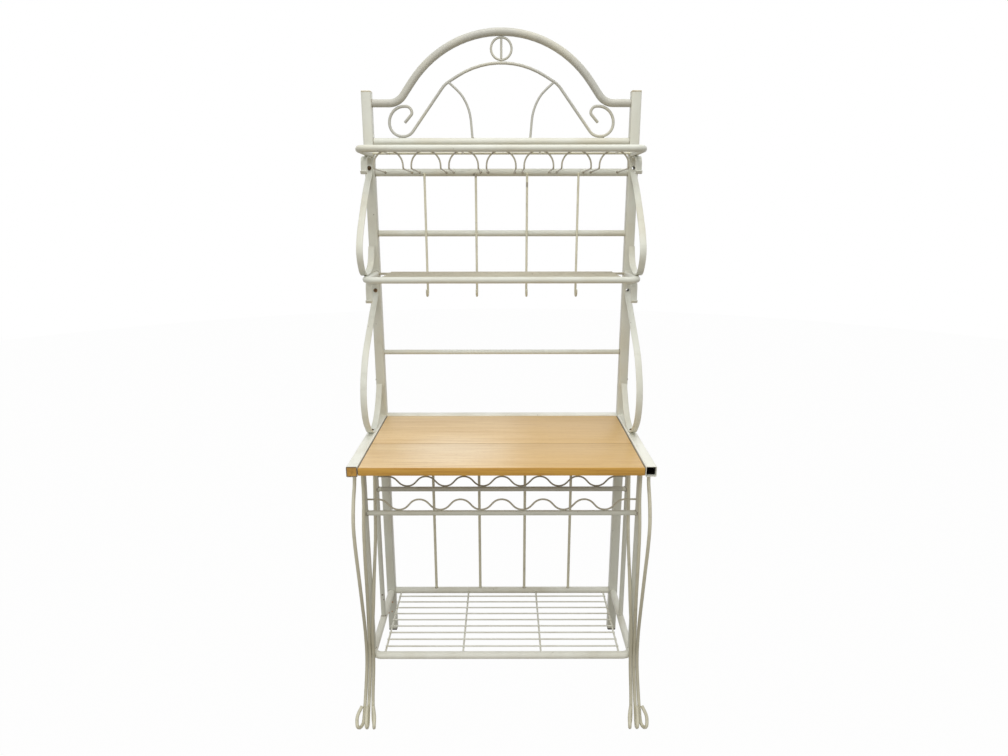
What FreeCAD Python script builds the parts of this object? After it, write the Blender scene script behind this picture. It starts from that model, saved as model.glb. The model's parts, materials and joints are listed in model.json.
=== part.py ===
import FreeCAD, Part
import math
import os
import Sketcher

# A wire-and-tube bakers rack with a wooden worktop, a wine bottle rack under it,
# a slatted low shelf, two bracketed upper shelves, a stemware rack and an arched crest.
# X runs across the rack, +Y points to its back, Z is up from the floor.
# The origin lies on the floor in the middle of the rack's outline.

doc = FreeCAD.newDocument("BakersRack")
Vector = FreeCAD.Vector

# ---------------------------------------------------------------- driving sizes

SIZES = [
    ("frame_width", 704.0, "outside width over the two uprights"),
    ("upright_size", 25.0, "square tube of the uprights and worktop rails"),
    ("upright_wall", 1.5, "wall of the square tube"),
    ("upright_top", 1551.0, "height of the upper uprights' cut ends"),
    ("split_rise", 79.0, "joint of the upper and lower uprights above the worktop rails"),
    ("glide_height", 6.0, "height of the rear feet below the uprights"),
    ("plug_depth", 18.0, "depth that caps and glides reach into a tube"),
    ("cap_height", 3.5, "height of the upright caps"),
    ("fit_gap", 0.3, "clearance of a piece that slides into a tube"),
    ("weld_gap", 0.1, "clearance where round pieces touch"),
    ("spigot_length", 140.0, "length of the tube that joins the uprights"),
    ("spigot_wall", 2.0, "wall of that tube"),
    ("spigot_screw_drop", 22.0, "distance of each spigot screw from the split"),
    ("worktop_height", 703.0, "height of the worktop rails"),
    ("worktop_reach", 393.0, "front of the worktop rails ahead of the upright axis"),
    ("board_thickness", 19.0, "thickness of the wooden planks"),
    ("board_gap", 1.5, "gap between planks and rails"),
    ("front_plank_width", 158.0, "front-to-back width of the front plank"),
    ("plank_seam", 0.2, "gap between the two planks"),
    ("plank_edge", 2.5, "rounding of the front plank's long edge"),
    ("tab_length", 30.0, "length of the tabs that carry the planks"),
    ("tab_width", 24.0, "reach of the tabs under the planks"),
    ("tab_thickness", 3.0, "thickness of the tabs, flush with the underside of the rails"),
    ("tab_end_gap", 22.0, "distance of the outer tabs from the plank ends"),
    ("end_plug_length", 20.0, "length of the plug in the left rail"),
    ("end_plug_recess", 0.8, "distance of the plug behind the rail's end"),
    ("tube_large", 19.0, "diameter of the crest, back rail and low shelf tube"),
    ("tube_shelf", 16.0, "diameter of the upper shelf tube"),
    ("tube_thin", 13.0, "diameter of the posts and bottle bars"),
    ("tube_wall", 1.2, "wall of every round tube"),
    ("mid_post_setout", 138.0, "middle posts ahead of the upright axis"),
    ("front_post_setback", 19.0, "front posts behind the low shelf's front tube"),
    ("rod_leg", 8.5, "diameter of the leg rods"),
    ("leg_gap", 0.2, "gap between the leg rods of one side"),
    ("leg_post_gap", 0.4, "gap between the inner leg rod and the front post"),
    ("leg_top_setback", 61.0, "top of the outer leg rod behind the rail's front end"),
    ("ankle_shift", 4.0, "middle leg rod outside the post axis beside the low shelf's corner"),
    ("claw_reach", 417.0, "front of the claws ahead of the upright axis"),
    ("claw_height", 60.0, "height at which a claw leaves its leg rod"),
    ("low_shelf_height", 134.0, "height of the low shelf tube"),
    ("low_shelf_reach", 299.0, "front tube of the low shelf ahead of the upright axis"),
    ("shelf_bend", 24.0, "bend radius of the shelf tubes"),
    ("low_runner_inset", 31.0, "outer runners of the low shelf from the upright axis"),
    ("low_deck_drop", 4.5, "cross wires of the low shelf below the top of its tube"),
    ("low_wire_margin", 32.0, "foremost of these wires behind the low shelf's front tube"),
    ("low_wire_count", 9.0, "cross wires of the low shelf"),
    ("runner_wire", 5.0, "diameter of the front-to-back wires"),
    ("cross_wire", 4.0, "diameter of the cross wires"),
    ("rear_wire", 6.0, "diameter of the upper shelves' rear wire"),
    ("bottle_drop", 170.0, "bottle bars below the worktop"),
    ("wave_wire", 4.0, "diameter of the bottle rack waves"),
    ("bottle_count", 6.0, "bottle seats of a wave"),
    ("wave_margin", 25.4, "distance of the outer seats' edge from the posts"),
    ("wave_height", 28.0, "height of a wave"),
    ("wave_slope", 48.0, "slope of a wave's flank in degrees"),
    ("rod_lower", 8.0, "diameter of the lower back rods"),
    ("lower_rod_pitch", 134.5, "spacing of the lower back rods"),
    ("rod_upper", 6.0, "diameter of the upper back rods"),
    ("hook_drop", 57.0, "lowest point of the hooks' centre line below the middle shelf"),
    ("hook_radius", 11.0, "bend radius of the hooks"),
    ("hook_tip", 7.0, "straight length of a hook's tip"),
    ("top_shelf_drop", 148.0, "top shelf tube below the uprights' ends"),
    ("shelf_spacing", 304.0, "distance between the two upper shelves"),
    ("rail_top_rise", 31.0, "uppermost back rail above the top shelf"),
    ("hanger_drop", 44.0, "back rail that carries the hoops below the top shelf"),
    ("rail_middle_rise", 106.0, "middle back rail above the middle shelf"),
    ("rail_low_rise", 180.0, "lowest back rail above the worktop"),
    ("shelf_reach", 172.0, "front tube of the upper shelves ahead of the upright axis"),
    ("shelf_arm_inset", 4.5, "side arms of the upper shelves from the upright axis"),
    ("runner_inset", 44.0, "outer runners of the upper shelves from the side arms"),
    ("shelf_wire_count", 6.0, "cross wires of an upper shelf"),
    ("hoop_count", 7.0, "hoops of the stemware rack"),
    ("hoop_inset", 61.8, "middle of the outer hoops from the uprights"),
    ("stem_slot", 19.4, "distance between two hoops' legs, for a glass stem"),
    ("hoop_wire", 4.0, "diameter of the hoops"),
    ("hoop_bend", 6.0, "bend radius between a hoop's leg and its arch"),
    ("crest_drop", 25.0, "foot of the crest below the uprights' ends"),
    ("crest_rise", 164.0, "top of the crest tube's centre line above its foot"),
    ("crest_run", 66.0, "corner of the crest's foot from the uprights"),
    ("crest_slope", 54.0, "slope of the crest's flanks in degrees"),
    ("crest_fillet", 45.0, "bend radius at the foot of the crest"),
    ("scroll_wire", 7.5, "diameter of the scroll wire"),
    ("scroll_rise", 93.5, "top of the scroll wire's centre line above the crest's foot"),
    ("scroll_curl", 71.5, "height of the scroll wire's curls"),
    ("ring_wire", 6.0, "diameter of the ring and its bar"),
    ("side_wire", 6.0, "diameter of the curved wires beside the crest's middle"),
    ("side_wire_foot", 73.5, "foot of these wires from the middle"),
    ("strap_width", 16.0, "width of the bracket straps"),
    ("strap_thickness", 3.0, "thickness of the bracket straps"),
    ("upper_hook_reach", 78.0, "hook of the upper strap ahead of the upright axis"),
    ("upper_hook_length", 43.0, "depth of this hook under the shelf arm"),
    ("lower_hook_reach", 100.0, "hook of the lower strap ahead of the upright axis"),
    ("lower_hook_length", 56.0, "depth of this hook under the shelf arm"),
    ("lip_reach", 7.5, "forward reach of the lip at a hook's end"),
    ("lip_bend", 3.7, "bend radius of this lip"),
    ("upper_seat_setback", 37.0, "foot of the upper strap behind the shelf's front tube"),
    ("lower_seat_reach", 150.0, "foot of the lower strap ahead of the upright axis"),
    ("arm_screw_reach", 46.0, "screw through strap and shelf arm ahead of the upright axis"),
    ("upper_bolt_drop", 26.0, "bolt of the upper brackets below the shelf arm"),
    ("lower_bolt_drop", 35.0, "bolt of the lower brackets below the shelf arm"),
    ("bolt_size", 6.0, "diameter of the bracket bolts"),
    ("bolt_hole", 8.0, "diameter of the bolt holes"),
    ("strap_hole", 8.6, "diameter of the straps' slip holes for the bolts"),
    ("bolt_head", 11.0, "diameter of the bolt heads"),
    ("bolt_head_height", 3.2, "height of the bolt heads"),
    ("nut_size", 11.0, "diameter of the cap nuts"),
    ("nut_height", 7.0, "height of the cap nuts"),
    ("screw_size", 4.0, "diameter of the screws"),
    ("screw_hole", 4.4, "diameter of the screw holes"),
    ("screw_head", 8.6, "diameter of the screw heads"),
    ("screw_head_height", 2.6, "height of the screw heads"),
    ("screw_length", 12.0, "length of the screws under their heads"),
]

# Sizes that follow from the ones above, so that pieces stay seated when one of them changes.
DERIVED = [
    ("axis_reach", "(frame_width - upright_size) / 2", "upright axis from the middle"),
    ("split_height", "worktop_height + split_rise", "joint of the uprights"),
    ("front_post_setout", "low_shelf_reach - front_post_setback", "front posts"),
    ("leg_pitch", "rod_leg + leg_gap", "spacing of the leg rods"),
    ("leg_post_pitch", "(tube_thin + rod_leg) / 2 + leg_post_gap", "inner leg rod beside the post"),
    ("low_runner_edge", "axis_reach - low_runner_inset", "outer runners of the low shelf"),
    ("bottle_height", "worktop_height - bottle_drop", "bottle bars"),
    ("wave_end", "axis_reach - tube_thin / 2 - weld_gap", "ends of the waves"),
    ("wave_pitch", "2 * (wave_end - wave_margin) / bottle_count", "distance between two bottle seats"),
    ("top_shelf_height", "upright_top - top_shelf_drop", "top shelf tube"),
    ("mid_shelf_height", "top_shelf_height - shelf_spacing", "middle shelf tube"),
    ("rail_top_height", "top_shelf_height + rail_top_rise", "uppermost back rail"),
    ("rail_hanger_height", "top_shelf_height - hanger_drop", "back rail of the hoops"),
    ("rail_middle_height", "mid_shelf_height + rail_middle_rise", "middle back rail"),
    ("rail_low_height", "worktop_height + rail_low_rise", "lowest back rail"),
    ("hook_bottom", "mid_shelf_height - hook_drop", "bottom of the hooks"),
    ("shelf_arm_edge", "axis_reach - shelf_arm_inset", "side arms of the upper shelves"),
    ("runner_edge", "shelf_arm_edge - runner_inset", "outer runners of the upper shelves"),
    ("hoop_edge", "axis_reach - upright_size / 2 - hoop_inset", "middle of the outer hoops"),
    ("hoop_pitch", "2 * hoop_edge / (hoop_count - 1)", "spacing of the hoops"),
    ("hoop_width", "hoop_pitch - stem_slot", "distance between the legs of a hoop"),
    ("upper_rod_pitch", "1.5 * hoop_pitch", "upper back rods, which stand within the hoops"),
    ("crest_stub_height", "upright_top - crest_drop", "foot of the crest"),
    ("crest_height", "crest_stub_height + crest_rise", "top of the crest"),
    ("scroll_top_height", "crest_stub_height + scroll_rise", "top of the scroll wire"),
    ("upper_seat_reach", "shelf_reach - upper_seat_setback", "foot of the upper strap"),
    ("upper_bolt_height", "top_shelf_height - tube_shelf / 2 - upper_bolt_drop", "upper bolts"),
    ("lower_bolt_height", "mid_shelf_height - tube_shelf / 2 - lower_bolt_drop", "lower bolts"),
]

sheet = doc.addObject("Spreadsheet::Sheet", "Sizes")
entries = SIZES + [(alias, "=" + formula, note) for alias, formula, note in DERIVED]
for row, (alias, value, note) in enumerate(entries, start=1):
    sheet.set("A%d" % row, note)
    sheet.set("B%d" % row, str(value))
    sheet.setAlias("B%d" % row, alias)
doc.recompute()

NAMES = [entry[0] for entry in entries]


def size(alias):
    """Value of a named size."""
    return float(sheet.get(alias))


def bound(text):
    """Expression text in which every named size points to its cell."""
    words = []
    for word in text.split():
        words.append("Sizes." + word if word in NAMES else word)
    return " ".join(words)


def bind(item, prop, text):
    item.setExpression(prop, bound(text))


# Expressions used by many pieces, written with spaces between their words.
AXIS_X = "axis_reach"
AXIS_Y = "( claw_reach - upright_size / 2 - nut_height ) / 2"
RAIL_Z = "( worktop_height - upright_size / 2 )"
INNER_SPAN = "( frame_width - 2 * upright_size )"

axis_x = size("axis_reach")
axis_y = (size("claw_reach") - size("upright_size") / 2 - size("nut_height")) / 2
half_upright = size("upright_size") / 2
inner_x = axis_x - half_upright
weld = size("weld_gap")

TURN_TO_X = FreeCAD.Rotation(Vector(0, 1, 0), 90)
TURN_TO_FRONT = FreeCAD.Rotation(Vector(1, 0, 0), 90)
UPRIGHT = FreeCAD.Rotation()

SIDES = [("left", -1), ("right", 1)]
pieces = []


def place(item, x_text, y_text, z_text, rotation=UPRIGHT):
    """Put an object at a point given from the upright axis line and bind it."""
    item.Placement = FreeCAD.Placement(Vector(0, 0, 0), rotation)
    bind(item, "Placement.Base.x", x_text)
    bind(item, "Placement.Base.y", AXIS_Y + " + " + y_text)
    bind(item, "Placement.Base.z", z_text)


def keep(item, label):
    """Name a finished sub-part and put it on the list of pieces."""
    item.Label = label
    pieces.append(item)
    return item


def keep_shape(shape, label):
    """Make a sub-part from a shape drawn about the upright axis line."""
    item = doc.addObject("Part::Feature", "Shaped")
    item.Shape = shape
    item.Placement = FreeCAD.Placement(Vector(0, axis_y, 0), UPRIGHT)
    return keep(item, label)


# ---------------------------------------------------------------- shape helpers


def origin_plane(body, role):
    for feature in body.Origin.OriginFeatures:
        if feature.Role == role:
            return feature
    raise ValueError(role)


def new_sketch(body, role):
    sketch = body.newObject("Sketcher::SketchObject", "Sketch")
    sketch.AttachmentSupport = [(origin_plane(body, role), "")]
    sketch.MapMode = "FlatFace"
    return sketch


def add_rectangle(sketch, name, width_text, depth_text):
    """Rectangle about the sketch's origin with two bound sizes."""
    first = sketch.GeometryCount
    corners = [Vector(-9, -7, 0), Vector(9, -7, 0), Vector(9, 7, 0), Vector(-9, 7, 0)]
    for index in range(4):
        line = Part.LineSegment(corners[index], corners[(index + 1) % 4])
        sketch.addGeometry(line, False)
    for index in range(4):
        joined = Sketcher.Constraint("Coincident", first + index, 2, first + (index + 1) % 4, 1)
        sketch.addConstraint(joined)
    for index, kind in enumerate(["Horizontal", "Vertical", "Horizontal", "Vertical"]):
        sketch.addConstraint(Sketcher.Constraint(kind, first + index))
    sketch.addConstraint(Sketcher.Constraint("Symmetric", first, 1, first + 1, 2, -1, 1))
    wide = sketch.addConstraint(Sketcher.Constraint("DistanceX", first, 1, first, 2, 18.0))
    deep = sketch.addConstraint(Sketcher.Constraint("DistanceY", first + 1, 1, first + 1, 2, 14.0))
    sketch.renameConstraint(wide, name + "_width")
    sketch.renameConstraint(deep, name + "_depth")
    bind(sketch, "Constraints." + name + "_width", width_text)
    bind(sketch, "Constraints." + name + "_depth", depth_text)


def add_circle(sketch, name, x_text, y_text, diameter_text):
    """Circle with a bound centre and diameter."""
    index = sketch.GeometryCount
    circle = Part.Circle(Vector(11, 13, 0), Vector(0, 0, 1), 2.0)
    sketch.addGeometry(circle, False)
    across = sketch.addConstraint(Sketcher.Constraint("DistanceX", -1, 1, index, 3, 11.0))
    upward = sketch.addConstraint(Sketcher.Constraint("DistanceY", -1, 1, index, 3, 13.0))
    round_size = sketch.addConstraint(Sketcher.Constraint("Diameter", index, 4.0))
    sketch.renameConstraint(across, name + "_x")
    sketch.renameConstraint(upward, name + "_y")
    sketch.renameConstraint(round_size, name + "_size")
    bind(sketch, "Constraints." + name + "_x", x_text)
    bind(sketch, "Constraints." + name + "_y", y_text)
    bind(sketch, "Constraints." + name + "_size", diameter_text)


def pad(body, sketch, length_text):
    feature = body.newObject("PartDesign::Pad", "Pad")
    feature.Profile = sketch
    bind(feature, "Length", length_text)
    sketch.Visibility = False
    return feature


def drill_through(body, sketch):
    """Cut a sketch through the whole body in both directions."""
    doc.recompute()
    before = body.Shape.Volume
    feature = body.newObject("PartDesign::Pocket", "Holes")
    feature.Profile = sketch
    feature.Type = "ThroughAll"
    feature.Midplane = True
    doc.recompute()
    if body.Shape.Volume >= before:
        raise ValueError("a hole in %s cuts nothing" % body.Label)
    return feature


def drill_outward(body, sketch, sign):
    """Cut a sketch through the wall that faces away from the rack's middle."""
    doc.recompute()
    before = body.Shape.Volume
    feature = body.newObject("PartDesign::Pocket", "SideHoles")
    feature.Profile = sketch
    feature.Type = "Length"
    bind(feature, "Length", "upright_size")
    feature.Reversed = sign > 0
    doc.recompute()
    if body.Shape.Volume >= before:
        raise ValueError("a hole in %s cuts nothing" % body.Label)


def square_tube(name, length_text):
    """Body of a square tube that stands on its own origin."""
    body = doc.addObject("PartDesign::Body", name)
    sketch = new_sketch(body, "XY_Plane")
    add_rectangle(sketch, "outer", "upright_size", "upright_size")
    bore = "upright_size - 2 * upright_wall"
    add_rectangle(sketch, "bore", bore, bore)
    pad(body, sketch, length_text)
    return body


def cylinder(name, radius_text, height_text):
    item = doc.addObject("Part::Cylinder", name)
    bind(item, "Radius", radius_text)
    bind(item, "Height", height_text)
    return item


def difference(name, base, tool):
    item = doc.addObject("Part::Cut", name)
    item.Base = base
    item.Tool = tool
    return item


def crossing_tube(label, diameter, z_text, y_text="0"):
    """Round tube across the rack between the inner faces of the uprights."""
    outer = cylinder("Outer", diameter + " / 2", INNER_SPAN)
    place(outer, "- " + INNER_SPAN + " / 2", y_text, z_text, TURN_TO_X)
    inner = cylinder("Bore", diameter + " / 2 - tube_wall", INNER_SPAN)
    place(inner, "- " + INNER_SPAN + " / 2", y_text, z_text, TURN_TO_X)
    return keep(difference("Tube", outer, inner), label)


def bent_path(points, radii):
    """Straight runs joined by tangent arcs; one radius for each inner point."""
    edges = []
    start = points[0]
    for index in range(1, len(points) - 1):
        corner = points[index]
        back = (points[index - 1] - corner).normalize()
        ahead = (points[index + 1] - corner).normalize()
        turn = math.pi - back.getAngle(ahead)
        reach = radii[index - 1] * math.tan(turn / 2)
        first = corner + back * reach
        last = corner + ahead * reach
        inward = (back + ahead).normalize()
        to_centre = radii[index - 1] / math.cos(turn / 2)
        middle = corner + inward * (to_centre - radii[index - 1])
        if (first - start).Length > 1e-4:
            edges.append(Part.LineSegment(start, first).toShape())
        edges.append(Part.Arc(first, middle, last).toShape())
        start = last
    edges.append(Part.LineSegment(start, points[-1]).toShape())
    return Part.Wire(edges)


def swept(path, profile):
    """Solid of a closed profile carried along a path."""
    solid = path.makePipeShell([profile], True, False)
    if solid.Volume < 0:
        solid.reverse()
    return solid


def round_profile(path, diameter, sides):
    """Many-sided outline square to the start of a path, which keeps long bends light."""
    edge = path.OrderedEdges[0]
    start = edge.valueAt(edge.FirstParameter)
    direction = edge.tangentAt(edge.FirstParameter)
    beside = direction.cross(Vector(0.3, 0.5, 0.8)).normalize()
    above = direction.cross(beside).normalize()
    corners = []
    for index in range(sides):
        angle = 2 * math.pi * index / sides
        offset = beside * math.cos(angle) + above * math.sin(angle)
        corners.append(start + offset * (diameter / 2))
    return Part.makePolygon(corners + [corners[0]])


def bent_rod(points, radii, diameter, sides=8):
    path = bent_path(points, radii)
    return swept(path, round_profile(path, diameter, sides))


def bent_tube(points, radii, diameter):
    """Hollow bent tube, open at both ends."""
    outer = bent_rod(points, radii, diameter, 12)
    inner = bent_rod(points, radii, diameter - 2 * size("tube_wall"))
    return outer.cut(inner)


def even_radii(points):
    """For each inner point the largest arc that leaves its runs a straight part."""
    radii = []
    for index in range(1, len(points) - 1):
        back = points[index - 1] - points[index]
        ahead = points[index + 1] - points[index]
        turn = math.pi - back.getAngle(ahead)
        shorter = min(back.Length, ahead.Length)
        radii.append(0.45 * shorter / math.tan(turn / 2))
    return radii


def fitted_radii(points, radii):
    """The wanted radii, smaller where two neighbouring arcs would not fit on their run."""
    reaches = [0.0]
    for index in range(1, len(points) - 1):
        back = points[index - 1] - points[index]
        ahead = points[index + 1] - points[index]
        turn = math.pi - back.getAngle(ahead)
        reaches.append(radii[index - 1] * math.tan(turn / 2))
    reaches.append(0.0)
    shares = []
    for index in range(len(points) - 1):
        run = (points[index + 1] - points[index]).Length
        shares.append(min(1.0, 0.98 * run / (reaches[index] + reaches[index + 1])))
    return [radius * min(shares[index], shares[index + 1]) for index, radius in enumerate(radii)]


def mirrored(points):
    return [Vector(-point.x, point.y, point.z) for point in points]


def rod_between(start, end, diameter):
    return Part.makeCylinder(diameter / 2, (end - start).Length, start, end - start)


def pan_screw(shank, shank_length, head, head_height):
    """Screw with a sloped head; its seat is at the origin and its shank points down."""
    rim = Part.makeCylinder(head / 2, head_height / 2)
    crown = Part.makeCone(head / 2, head / 2 * 0.7, head_height / 2, Vector(0, 0, head_height / 2))
    stem = Part.makeCylinder(shank / 2, shank_length, Vector(0, 0, -shank_length))
    return rim.fuse(crown).fuse(stem).removeSplitter()


def turned(shape, rotation, base):
    """Copy of a shape turned about its origin and moved to a point."""
    copy = shape.copy()
    copy.Placement = FreeCAD.Placement(base, rotation)
    return copy


# ---------------------------------------------------------------- uprights

for side, sign in SIDES:
    lower = square_tube("LowerUpright", "split_height - glide_height")
    holes = new_sketch(lower, "YZ_Plane")
    screw_z = "split_height - glide_height - spigot_screw_drop"
    add_circle(holes, "spigot", "0", screw_z, "screw_hole")
    drill_outward(lower, holes, sign)
    place(lower, "%d * " % sign + AXIS_X, "0", "glide_height")
    keep(lower, "lower_upright_" + side)

    upper = square_tube("UpperUpright", "upright_top - split_height")
    side_hole = new_sketch(upper, "YZ_Plane")
    add_circle(side_hole, "spigot", "0", "spigot_screw_drop", "screw_hole")
    drill_outward(upper, side_hole, sign)
    holes = new_sketch(upper, "XZ_Plane")
    add_circle(holes, "lower_bolt", "0", "lower_bolt_height - split_height", "bolt_hole")
    add_circle(holes, "upper_bolt", "0", "upper_bolt_height - split_height", "bolt_hole")
    drill_through(upper, holes)
    place(upper, "%d * " % sign + AXIS_X, "0", "split_height")
    keep(upper, "upper_upright_" + side)

bore_size = size("upright_size") - 2 * size("upright_wall")
plug_size = bore_size - 2 * size("fit_gap")
split = size("split_height")
through = Vector(0, size("upright_size"), 0)

spigots = []
caps = []
glides = []
for side, sign in SIDES:
    corner = Vector(sign * axis_x - plug_size / 2, -plug_size / 2, split - size("spigot_length") / 2)
    block = Part.makeBox(plug_size, plug_size, size("spigot_length"), corner)
    hollow = plug_size - 2 * size("spigot_wall")
    corner = Vector(sign * axis_x - hollow / 2, -hollow / 2, corner.z)
    block = block.cut(Part.makeBox(hollow, hollow, size("spigot_length"), corner))
    for step in (-1, 1):
        start = Vector(sign * axis_x, 0, split + step * size("spigot_screw_drop"))
        outside = Vector(sign * size("upright_size"), 0, 0)
        block = block.cut(rod_between(start, start + outside, size("screw_hole")))
    for height in (size("lower_bolt_height"), size("upper_bolt_height")):
        start = Vector(sign * axis_x, -half_upright, height)
        block = block.cut(rod_between(start, start + through, size("bolt_hole")))
    spigots.append(block)

    top = size("upright_top")
    corner = Vector(sign * axis_x - half_upright, -half_upright, top)
    lid = Part.makeBox(2 * half_upright, 2 * half_upright, size("cap_height"), corner)
    rims = [edge for edge in lid.Edges if edge.BoundBox.ZMin > top + size("cap_height") - 0.01]
    lid = lid.makeFillet(size("cap_height") * 0.7, rims)
    corner = Vector(sign * axis_x - plug_size / 2, -plug_size / 2, top - size("plug_depth"))
    caps.append(lid.fuse(Part.makeBox(plug_size, plug_size, size("plug_depth"), corner)))

    corner = Vector(sign * axis_x - half_upright, -half_upright, 0)
    foot = Part.makeBox(2 * half_upright, 2 * half_upright, size("glide_height"), corner)
    rims = [edge for edge in foot.Edges if edge.BoundBox.ZMax < 0.01]
    foot = foot.makeFillet(size("glide_height") * 0.35, rims)
    corner = Vector(sign * axis_x - plug_size / 2, -plug_size / 2, size("glide_height"))
    glides.append(foot.fuse(Part.makeBox(plug_size, plug_size, size("plug_depth"), corner)))

keep_shape(Part.makeCompound(spigots), "upright_spigots")
keep_shape(Part.makeCompound(caps), "upright_caps")
keep_shape(Part.makeCompound(glides), "rear_glides")

# ---------------------------------------------------------------- worktop

RAIL_LENGTH = "( worktop_reach - upright_size / 2 )"
rail_z = size("worktop_height") - half_upright
rail_under = size("worktop_height") - size("upright_size")
board_under = rail_under + size("tab_thickness")
lower_seat_reach = size("lower_seat_reach")
upper_seat_reach = size("upper_seat_reach")

for side, sign in SIDES:
    rail = square_tube("SideRail", RAIL_LENGTH)
    hole = new_sketch(rail, "XZ_Plane")
    add_circle(hole, "seat", "0", "lower_seat_reach - upright_size / 2", "screw_hole")
    doc.recompute()
    before = rail.Shape.Volume
    seat = rail.newObject("PartDesign::Pocket", "SeatHole")
    seat.Profile = hole
    seat.Type = "Length"
    seat.Reversed = False
    bind(seat, "Length", "upright_size")
    doc.recompute()
    if rail.Shape.Volume >= before:
        raise ValueError("the seat hole cuts nothing")
    place(rail, "%d * " % sign + AXIS_X, "- upright_size / 2", RAIL_Z, TURN_TO_FRONT)
    keep(rail, "worktop_side_rail_" + side)

rear_rail = square_tube("RearRail", INNER_SPAN)
place(rear_rail, "- " + INNER_SPAN + " / 2", "0", RAIL_Z, TURN_TO_X)
keep(rear_rail, "worktop_rear_rail")

plug = doc.addObject("Part::Box", "EndPlug")
bind(plug, "Length", "upright_size - 2 * upright_wall - 2 * fit_gap")
bind(plug, "Height", "upright_size - 2 * upright_wall - 2 * fit_gap")
bind(plug, "Width", "end_plug_length")
plug_x = "- " + AXIS_X + " - upright_size / 2 + upright_wall + fit_gap"
plug_z = "worktop_height - upright_size + upright_wall + fit_gap"
place(plug, plug_x, "- worktop_reach + end_plug_recess", plug_z)
keep(plug, "rail_end_plug")

board_width = size("frame_width") - 2 * size("upright_size") - 2 * size("board_gap")
board_back = -half_upright - size("board_gap")
board_front = -size("worktop_reach")
seam = board_front + size("front_plank_width")
tab_places = [board_front + size("tab_end_gap") + size("tab_length") / 2]
tab_places.append(seam + (board_back - seam) * 0.25)
tab_places.append(board_back - size("tab_end_gap") - size("tab_length") / 2)
tab_centre = inner_x - size("tab_width") / 2 - 2.0

PLANKS = [
    ("worktop_front_plank", board_front, seam - size("plank_seam") / 2, tab_places[:1]),
    ("worktop_rear_plank", seam + size("plank_seam") / 2, board_back, tab_places[1:]),
]
for label, front, back, holders in PLANKS:
    corner = Vector(-board_width / 2, front, board_under)
    plank = Part.makeBox(board_width, back - front, size("board_thickness"), corner)
    if label == "worktop_front_plank":
        edges = []
        for edge in plank.Edges:
            box = edge.BoundBox
            if box.YMax < front + 0.01 and box.XLength > board_width - 1:
                edges.append(edge)
        plank = plank.makeFillet(size("plank_edge"), edges)
    for y_place in holders:
        for sign in (-1, 1):
            start = Vector(sign * tab_centre, y_place, board_under)
            pilot = rod_between(start, start + Vector(0, 0, 13), size("screw_hole"))
            plank = plank.cut(pilot)
    keep_shape(plank, label)

tabs = []
tab_screws = []
screw = pan_screw(size("screw_size"), size("screw_length"), size("screw_head"), size("screw_head_height"))
HEAD_DOWN = FreeCAD.Rotation(Vector(1, 0, 0), 180)
HEAD_FRONT = FreeCAD.Rotation(Vector(1, 0, 0), 90)
for y_place in tab_places:
    for sign in (-1, 1):
        corner = Vector(inner_x - size("tab_width"), y_place - size("tab_length") / 2, rail_under)
        if sign < 0:
            corner.x = -inner_x
        tab = Part.makeBox(size("tab_width"), size("tab_length"), size("tab_thickness"), corner)
        start = Vector(sign * tab_centre, y_place, rail_under)
        tabs.append(tab.cut(rod_between(start, start + Vector(0, 0, 5), size("screw_hole"))))
        tab_screws.append(turned(screw, HEAD_DOWN, start))
keep_shape(Part.makeCompound(tabs), "plank_tabs")
keep_shape(Part.makeCompound(tab_screws), "plank_screws")

# ---------------------------------------------------------------- low shelf

large = size("tube_large")
low_z = size("low_shelf_height")
low_front = -size("low_shelf_reach")
frame_points = [
    Vector(-axis_x, -half_upright, low_z),
    Vector(-axis_x, low_front, low_z),
    Vector(axis_x, low_front, low_z),
    Vector(axis_x, -half_upright, low_z),
]
bends = [size("shelf_bend"), size("shelf_bend")]
keep_shape(bent_tube(frame_points, bends, large), "low_shelf_frame")
crossing_tube("low_shelf_rear_tube", "tube_large", "low_shelf_height")


def runner_places(edge_place):
    return [edge_place * step / 3 for step in (-3, -1, 1, 3)]


cross = size("cross_wire")
runner = size("runner_wire")
low_runner_z = low_z + large / 2 - size("low_deck_drop") - cross - runner / 2
rear_outer = rod_between(Vector(-axis_x, 0, low_z), Vector(axis_x, 0, low_z), large + 2 * weld)
front_outer = rod_between(Vector(-axis_x, low_front, low_z), Vector(axis_x, low_front, low_z), large + 2 * weld)
wires = []
for x_place in runner_places(size("low_runner_edge")):
    wire = rod_between(Vector(x_place, 0, low_runner_z), Vector(x_place, low_front, low_runner_z), runner)
    wires.append(wire.cut(rear_outer).cut(front_outer))
keep_shape(Part.makeCompound(wires), "low_shelf_runners")

wires = []
low_count = int(size("low_wire_count"))
low_step = (size("low_shelf_reach") - size("low_wire_margin") - large / 2) / low_count
for index in range(low_count):
    y_place = -large / 2 - low_step * (index + 1)
    over = size("low_runner_edge") + runner / 2
    start = Vector(-over, y_place, low_runner_z + runner / 2 + cross / 2 + weld)
    wires.append(rod_between(start, Vector(over, y_place, start.z), cross))
keep_shape(Part.makeCompound(wires), "low_shelf_cross_wires")

# ---------------------------------------------------------------- posts and legs

thin = size("tube_thin")
low_frame_room = bent_rod(frame_points, bends, large + 2 * weld, 12)
for name, setout in (("mid_post_", "mid_post_setout"), ("front_post_", "front_post_setout")):
    for side, sign in SIDES:
        foot = Vector(sign * axis_x, -size(setout), low_z)
        top = Vector(foot.x, foot.y, rail_under)
        post = rod_between(foot, top, thin).cut(rod_between(foot, top, thin - 2 * size("tube_wall")))
        keep_shape(post.cut(low_frame_room), name + side)

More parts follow.
